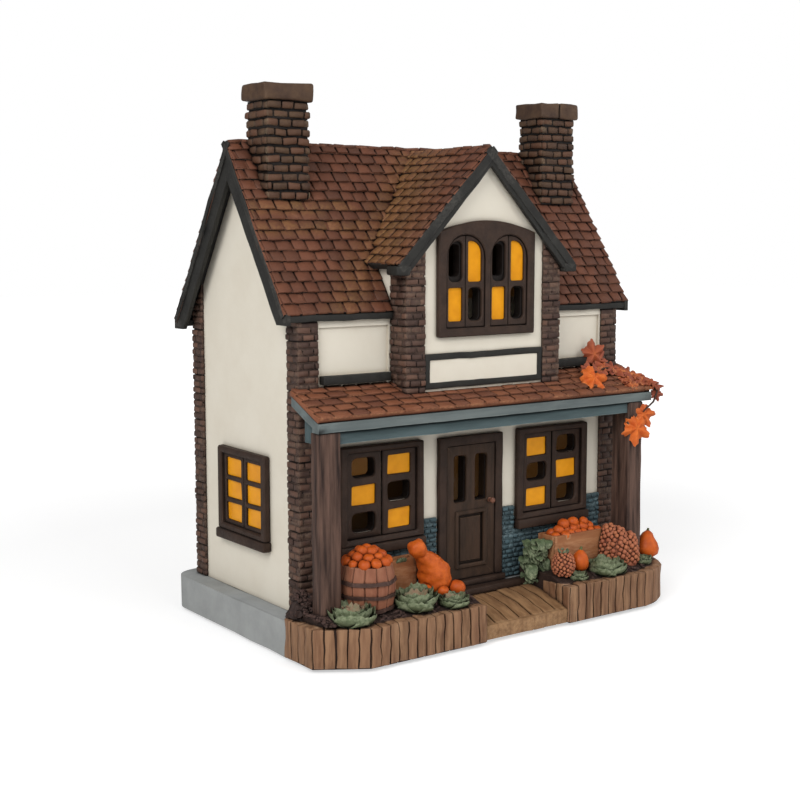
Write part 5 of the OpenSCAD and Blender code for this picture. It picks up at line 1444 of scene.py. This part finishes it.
stem_coat = resin_paint("green_brown_stem_acrylic_on_cast_resin", "5b6238", "4a4a2c", "1e1c10", "8a8a5c",
                        spot_mm=2)
gourds = bmesh.new()
stems = bmesh.new()
for x, y, radius in ((-0.258, 0.614, 3.5), (-0.415, 0.50, 3.4), (-0.335, 0.60, 2.6)):
    add_pumpkin(gourds, ground(x, y) + Vector((0, 0, 0.75 * radius)), radius, ribs=10)
egg_share = (0.55, 0.93, 1.0, 0.92, 0.7, 0.42, 0.12)
pear_share = (0.5, 0.95, 1.0, 0.85, 0.58, 0.42, 0.15)
levels = (0.03, 0.18, 0.38, 0.58, 0.77, 0.91, 1.0)
for x, y, sunk, radius, tall, lean, share in (
    (0.508, 0.667, 0, 3.9, 10.0, 0.4, egg_share), (1.045, 0.507, 2.2, 6.0, 12.8, 0.8, pear_share),
):
    root = ground(x, y) - Vector((0, 0, sunk))
    sweep(gourds, [root + Vector((lean * level ** 2, 0, tall * level)) for level in levels],
          [radius * part for part in share])
    tip = root + Vector((lean, 0, tall))
    sweep(stems, [tip - Vector((0, 0, 0.5)), tip + Vector((0.2, 0, 0.5)), tip + Vector((0.6, 0, 1.0))],
          (0.8, 0.6, 0.5), sides=7)
bmesh.ops.recalc_face_normals(gourds, faces=gourds.faces)
wobble(gourds, 0.3, 5)

# %% [markdown]
# ## Studded cone and berry mound
# Two heaps are covered in small knobs: an egg-shaped cone with a leafy tuft, and a mound of beads that
# spills from the crate. Points that follow a sunflower's spiral cover both evenly.

# %% Stud the cone and heap the berries
berry_coat = resin_paint("red_brown_berry_acrylic_on_cast_resin", "ab664a", "94543d", "3c1c11", "ce967a",
                         other="b06c4a", spot_mm=3, wash_and_shade_mm=1.0, brushing=0.4)


sunflower_turn = 2.39996


def stud_dome(bm, root, radius, tall, count, knob, blunt=1.0, under=0.02):
    """Knobs in a sunflower spiral over a dome, and the dome itself. A low blunt squares its shoulders."""
    tint = point_layer(bm, "tint")
    core = bmesh.ops.create_uvsphere(bm, u_segments=16, v_segments=10, radius=1)["verts"]
    for vert in core:
        wide = vert.co.xy.length
        vert.co.xy *= wide ** (blunt - 1) * radius * 0.93 if wide > 0.01 else 1
        vert.co.z *= tall * 0.96
    bmesh.ops.translate(bm, vec=root, verts=core)
    for index in range(count):
        part = (index + 0.5) / count
        level = 1 - part * (1 + under)
        ring = math.sqrt(max(0.0, 1 - level * level)) ** blunt
        around = index * sunflower_turn + chance.uniform(-0.12, 0.12)
        spot = Vector((ring * radius * math.cos(around), ring * radius * math.sin(around), level * tall))
        size = knob * chance.uniform(0.85, 1.15)
        made = bmesh.ops.create_uvsphere(bm, u_segments=8, v_segments=5, radius=size,
                                         matrix=Matrix.Translation(root + spot))
        shade = chance.random()
        for vert in made["verts"]:
            vert[tint] = shade


studs = bmesh.new()
cone_root = ground(0.39, 0.681)
stud_dome(studs, cone_root + Vector((0, 0, 4.6)), 4.6, 5.8, 120, 0.85, under=0.75)
for x, y, radius, tall, count in (
    (0.79, 0.60, 5.4, 15.6, 110), (0.85, 0.66, 4.4, 13.0, 75), (0.765, 0.52, 4.6, 16.5, 95),
):
    stud_dome(studs, ground(x, y), radius, tall, count, 1.1, blunt=0.7)
finish_piece("studded_cone_and_berries", studs, berry_coat, smooth=80)
finish_piece("pumpkin_and_pear_gourds", gourds, orange_coat, ("loose_gourds",), smooth=80)
finish_piece("gourd_stems", stems, stem_coat)

# %% [markdown]
# ## Cabbages and lettuce
# A cabbage is rings of cupped leaves round a pinkish heart. Each leaf is a grid, narrowed to its root,
# bent up and out, and ruffled along its rim. A thin thickness closes it.

# %% Plant the cabbages
cabbage_coat = resin_paint("grey_green_leaf_acrylic_on_cast_resin", "5c6a4c", "48553b", "141a10", "969d7e",
                           other="a5826a", spot_mm=4, wash_and_shade_mm=1.6, brush_mm=0.3, brushing=0.7)


def add_leaf(bm, root, heading, reach, rise, wide, ruffle, shade):
    """One cupped, ruffled leaf that grows from a root along a heading."""
    tint = point_layer(bm, "tint")
    sheet = bmesh.ops.create_grid(bm, x_segments=10, y_segments=6, size=0.5)["verts"]
    phase = chance.uniform(0, math.tau)
    ahead = Vector((math.cos(heading), math.sin(heading), 0))
    across = Vector((-ahead.y, ahead.x, 0))
    for vert in sheet:
        part, off = vert.co.y + 0.5, vert.co.x
        breadth = wide * math.sin(math.pi * (0.14 + 0.62 * part)) ** 0.6
        rounded = part * (1 - 0.18 * (2 * off) ** 2 * part)
        cup = 0.2 * wide * off * off
        inward = 0.7 * wide * off * off * part
        wave = ruffle * part * (math.sin(off * 19 + phase) + 0.6 * math.sin(off * 31 + 2 * phase))
        vert[tint] = min(1.0, shade * (1.15 - part)) if shade < 1 else shade - 0.5 + 0.2 * part
        forward = reach * math.sin(1.45 * rounded) - inward + wave * 0.5
        vert.co = root + ahead * forward + across * off * breadth
        vert.co.z += rise * (1 - math.cos(1.5 * rounded)) + cup + wave
    faces = list(dict.fromkeys(face for vert in sheet for face in vert.link_faces))
    bmesh.ops.solidify(bm, geom=faces, thickness=0.45)


def add_cabbage(bm, root, size, heart=True):
    """Rings of broad leaves, the inner ones steeper, round a frilled pinkish heart."""
    rings = [(5, 0.94, 0.66, 1.3, 0.035, 0.1), (5, 0.8, 0.85, 1.2, 0.035, 0.1),
             (4, 0.64, 0.88, 1.05, 0.04, 0.25)]
    if heart:
        rings += [(4, 0.45, 0.8, 0.85, 0.05, 1.3), (3, 0.26, 0.72, 0.7, 0.05, 1.5)]
    for count, reach, rise, wide, ruffle, blush in rings:
        start = chance.uniform(0, math.tau)
        for index in range(count):
            heading = start + math.tau * index / count + chance.uniform(-0.2, 0.2)
            leaf_reach = size * reach * chance.uniform(0.9, 1.1)
            leaf_rise = size * rise * chance.uniform(0.85, 1.1)
            add_leaf(bm, root, heading, leaf_reach, leaf_rise, size * wide, size * ruffle, blush)


cabbages = bmesh.new()
for x, y, size, heart in ((-0.876, 0.72, 10.5, True), (-0.525, 0.685, 11.0, True), (-0.339, 0.79, 7.5, True),
                          (0.655, 0.765, 10.0, False), (0.93, 0.72, 5.0, False), (0.45, 0.80, 5.0, False)):
    root = ground(x, y)
    root.z -= 0.2 * size
    add_cabbage(cabbages, root, size, heart)
for index in range(6):
    add_leaf(cabbages, cone_root + Vector((0, 0, 9.4)), index * math.tau / 6, 2.6, 2.6, 1.9, 0.2, 0.0)
# Leaves that climb beside the door, and a few that look out of the small crate
vine_left, vine_right = 24, 33
for _ in range(60):
    climb = Vector((chance.uniform(vine_left, vine_right), front_y - chance.uniform(4, 13),
                    soil_z + chance.uniform(-4, 14)))
    heading = math.radians(chance.uniform(200, 300))
    add_leaf(cabbages, climb, heading, 3.4, chance.uniform(-5.5, -1.0), 5.4, 0.3, 0.0)
tuft_left, tuft_pace = -47, 2
for index in range(3):
    add_leaf(cabbages, Vector((tuft_left + tuft_pace * index, small_front + 3, crate_high.z - 2)),
             math.radians(chance.uniform(230, 310)), 4.0, 3.0, 3.6, 0.3, 0.0)
finish_piece("cabbages_and_lettuce", cabbages, cabbage_coat, ("cabbages",), smooth=80)

# %% [markdown]
# ## Maple leaves
# A spray of autumn leaves lies over the right end of the porch roof, on a dark twig that bends down past
# the gutter to two hanging leaves. A leaf is a disc whose rim is drawn out into five toothed lobes and
# then bent.

# %% Lay the leaves
leaf_coat = resin_paint("orange_maple_leaf_acrylic_on_cast_resin", "d9702a", "c4561c", "6a2a12", "f0a05a",
                        other="8c4a38", spot_mm=3, brush_mm=0.3, brushing=0.5, wash_and_shade_mm=0.9)
twig_coat = resin_paint("dark_twig_acrylic_on_cast_resin", "3c2a22", "2e1f19", "0f0a08", "6a4c3c", spot_mm=2)


def maple_reach(angle):
    """Distance of the leaf's rim at an angle, as a share of its size."""
    lobes = ((-32, 0.42), (28, 0.52), (90, 0.58), (152, 0.52), (212, 0.42))
    degrees = (math.degrees(angle) + 90) % 360 - 90
    best = 0.36
    for middle, length in lobes:
        off = abs(degrees - middle)
        best = max(best, length * (1 - 0.36 * (off / 29) ** 0.9) if off < 34 else 0)
    return best + 0.025 * math.sin(math.radians(degrees * 18))


def add_maple_leaf(bm, place, size, shade):
    """A toothed leaf, bent along its veins, moved to its place."""
    leaf = bmesh.new()
    tint = leaf.verts.layers.float.new("tint")
    bmesh.ops.create_circle(leaf, cap_ends=True, cap_tris=True, segments=64, radius=1)
    spokes = [edge for edge in leaf.edges if min(vert.co.length for vert in edge.verts) < 0.01]
    bmesh.ops.subdivide_edges(leaf, edges=spokes, cuts=2)
    for vert in leaf.verts:
        angle = math.atan2(vert.co.y, vert.co.x)
        part = vert.co.length
        rim = maple_reach(angle) * size
        vert.co = vert.co * rim
        vert.co.z = 0.09 * size * part * math.cos(angle * 5 - math.pi / 2) - 0.12 * size * part * part
        vert[tint] = min(1.0, max(0.0, shade + 0.35 * (part - 0.5)))
    bmesh.ops.recalc_face_normals(leaf, faces=leaf.faces)
    bmesh.ops.solidify(leaf, geom=leaf.faces[:], thickness=0.7)
    merge_into(bm, leaf, place)


def porch_z(y):
    """Height of the porch roof's tile tips."""
    return porch_top_z - porch_drop * (front_y - y) / (front_y - porch_low.y)


spray = bmesh.new()
point_layer(spray, "tint")
# Each row: x, distance out from the wall, height over the tiles, size, turn in degrees, lean, redness
for x, out, lift, size, turn, lean, shade in (
    (57.5, 15.5, 3.6, 16.5, 205, 0.55, 0.0), (61, 9, 3.0, 9, 60, 0.6, 0.8), (66, 9, 2.6, 9, 300, 0.4, 0.9),
    (71, 7.5, 3.4, 9.5, 110, 0.5, 0.75), (75, 9, 3.4, 9, 40, 0.3, 1.0),
    (78.5, 10.5, 3.2, 9.5, 160, 0.2, 0.8), (81.5, 12.5, 3.0, 9, 250, 0.3, 0.95),
    (84.5, 14.5, 2.8, 9, 200, 0.1, 0.7), (86.5, 17, 2.6, 9, 20, -0.1, 0.9),
    (88.5, 19, 2.0, 9, 300, -0.2, 0.8), (90, 20.5, 0.8, 8, 210, -0.4, 1.0), (83, 17, 1.6, 8, 120, 0.1, 1.0),
):
    tilt = rotate(porch_pitch + lean, "X") @ rotate(math.radians(turn), "Z")
    spot = Vector((x, front_y - out, porch_z(front_y - out) + lift))
    add_maple_leaf(spray, Matrix.Translation(spot) @ tilt, size, shade)
# Small leaves heaped over the porch roof's right corner
corner_left, corner_right = 75, 87
for _ in range(26):
    x, out = chance.uniform(corner_left, corner_right), chance.uniform(11, 20)
    tilt = rotate(porch_pitch + chance.uniform(-0.5, 0.5), "X") @ rotate(chance.uniform(0, math.tau), "Z")
    spot = Vector((x, front_y - out, porch_z(front_y - out) + chance.uniform(0.4, 1.3)))
    add_maple_leaf(spray, Matrix.Translation(spot) @ tilt, chance.uniform(4.5, 6.5), chance.uniform(0.5, 1.0))
# Upright leaves, the first against the wall and the last hanging past the gutter: height in place of a lift
for x, out, z, size, turn, shade in (
    (66.5, 5.6, 113.6, 12.5, 10, 0.75), (69.5, 5.6, 110.4, 9, 330, 0.9), (91, 21.6, 95.5, 7, 190, 1.0),
    (77.2, 23.2, 80.8, 15, 172, 0.0), (82.0, 22.6, 86.8, 12, 205, 0.2),
):
    upright = rotate(math.radians(-20), "Z") @ rotate(math.radians(84), "X")
    spot = Matrix.Translation((x, front_y - out, z))
    add_maple_leaf(spray, spot @ upright @ rotate(math.radians(turn), "Z"), size, shade)
finish_piece("maple_leaf_spray", spray, leaf_coat, ("leaf_spray",), smooth=80)
twig = bmesh.new()
twig_path = [Vector((x, front_y - out, z)) for x, out, z in (
    (60, 12, 104.2), (66, 8, 106.4), (72, 8, 107), (79, 10.5, 105.6), (85.5, 15.5, 102.8), (89, 19.5, 100.2),
    (90.4, 22.2, 96.5), (87.5, 22.8, 92), (81, 22.8, 88),
)]
sweep(twig, twig_path, (0.35, 0.45, 0.5, 0.5, 0.5, 0.5, 0.5, 0.45, 0.35), sides=8)
bmesh.ops.recalc_face_normals(twig, faces=twig.faces)
finish_piece("leaf_twig", twig, twig_coat)

# %% [markdown]
# ## Back and inside
# On the back are the battery cover with its screw and the slide switch, and inside are the cells, their
# contacts, the lamp on its board and two wires. Moulded plastic has a fine spark-eroded grain. Plated
# steel is turned, so its roughness runs in rings too fine to see, drawn here as a faint grain.

# %% Plastics and metals


def plain_surface(name, first, second, grain_mm, roughness, metallic=0.0, bump=0.1, coat=0.0):
    """A moulded or plated surface: two close colours in a fine grain, with bump."""
    material, tree = new_material(name)
    place = add_node(tree, "ShaderNodeTexCoord")
    grain = add_node(tree, "ShaderNodeTexNoise", {"Scale": 1 / (grain_mm * MM), "Detail": 3.0},
                     {"Vector": place.outputs["Object"]})
    colour = add_node(tree, "ShaderNodeMixRGB", {"Color1": srgb(first), "Color2": srgb(second)},
                      {"Fac": grain.outputs[0]})
    relief = add_node(tree, "ShaderNodeBump", {"Strength": bump, "Distance": 0.1 * MM},
                      {"Height": grain.outputs[0]})
    skin = add_node(tree, "ShaderNodeBsdfPrincipled",
                    {"Roughness": roughness, "Metallic": metallic, "Coat Weight": coat},
                    {"Base Color": colour.outputs[0], "Normal": relief.outputs[0]})
    add_node(tree, "ShaderNodeOutputMaterial", links={"Surface": skin.outputs[0]})
    return material


cream_abs = plain_surface("cream_moulded_abs", "d9d2c2", "cfc7b5", 0.8, 0.5, bump=0.3)
black_abs = plain_surface("black_moulded_abs", "262626", "303030", 0.8, 0.5, bump=0.3)
rubber = plain_surface("black_moulded_rubber", "1a1a1a", "242424", 1.0, 0.85, bump=0.3)
plated_steel = plain_surface("nickel_plated_steel", "b9babb", "cfd0d0", 0.6, 0.3, metallic=1.0)
brass = plain_surface("spring_brass_strip", "b8994e", "c7aa60", 0.8, 0.35, metallic=1.0)
cell_jacket = plain_surface("silver_printed_cell_jacket", "9fa4a8", "b3b7ba", 1.2, 0.35, metallic=0.6)
green_board = plain_surface("green_lacquered_fibreglass_board", "2c6638", "357543", 1.5, 0.4, coat=0.3)
warm_lamp = plain_surface("warm_white_epoxy_lamp", "f0dfae", "f7ecc8", 2.0, 0.3, coat=0.2)
red_wire = plain_surface("red_pvc_wire_sleeve", "8a2a22", "9b342b", 1.0, 0.5)
softened("battery_cover", "moulded_battery_cover", cream_abs, round_mm=0.35, wave_mm=0.0, cut_mm=20,
         body="battery_cover")
paint_node(plated_steel, "cover_screw")
paint_node(black_abs, "battery_box", "switch_body")
softened("switch_slider", "moulded_switch_slider", black_abs, round_mm=0.3, wave_mm=0.0,
         cut_mm=20, body="switch_slider")
paint_node(rubber, "rubber_feet")
paint_node(cell_jacket, "batteries")
paint_node(brass, "battery_contacts")
paint_node(green_board, "lamp_board")
paint_node(warm_lamp, "lamp")
paint_node(red_wire, "lamp_wires")
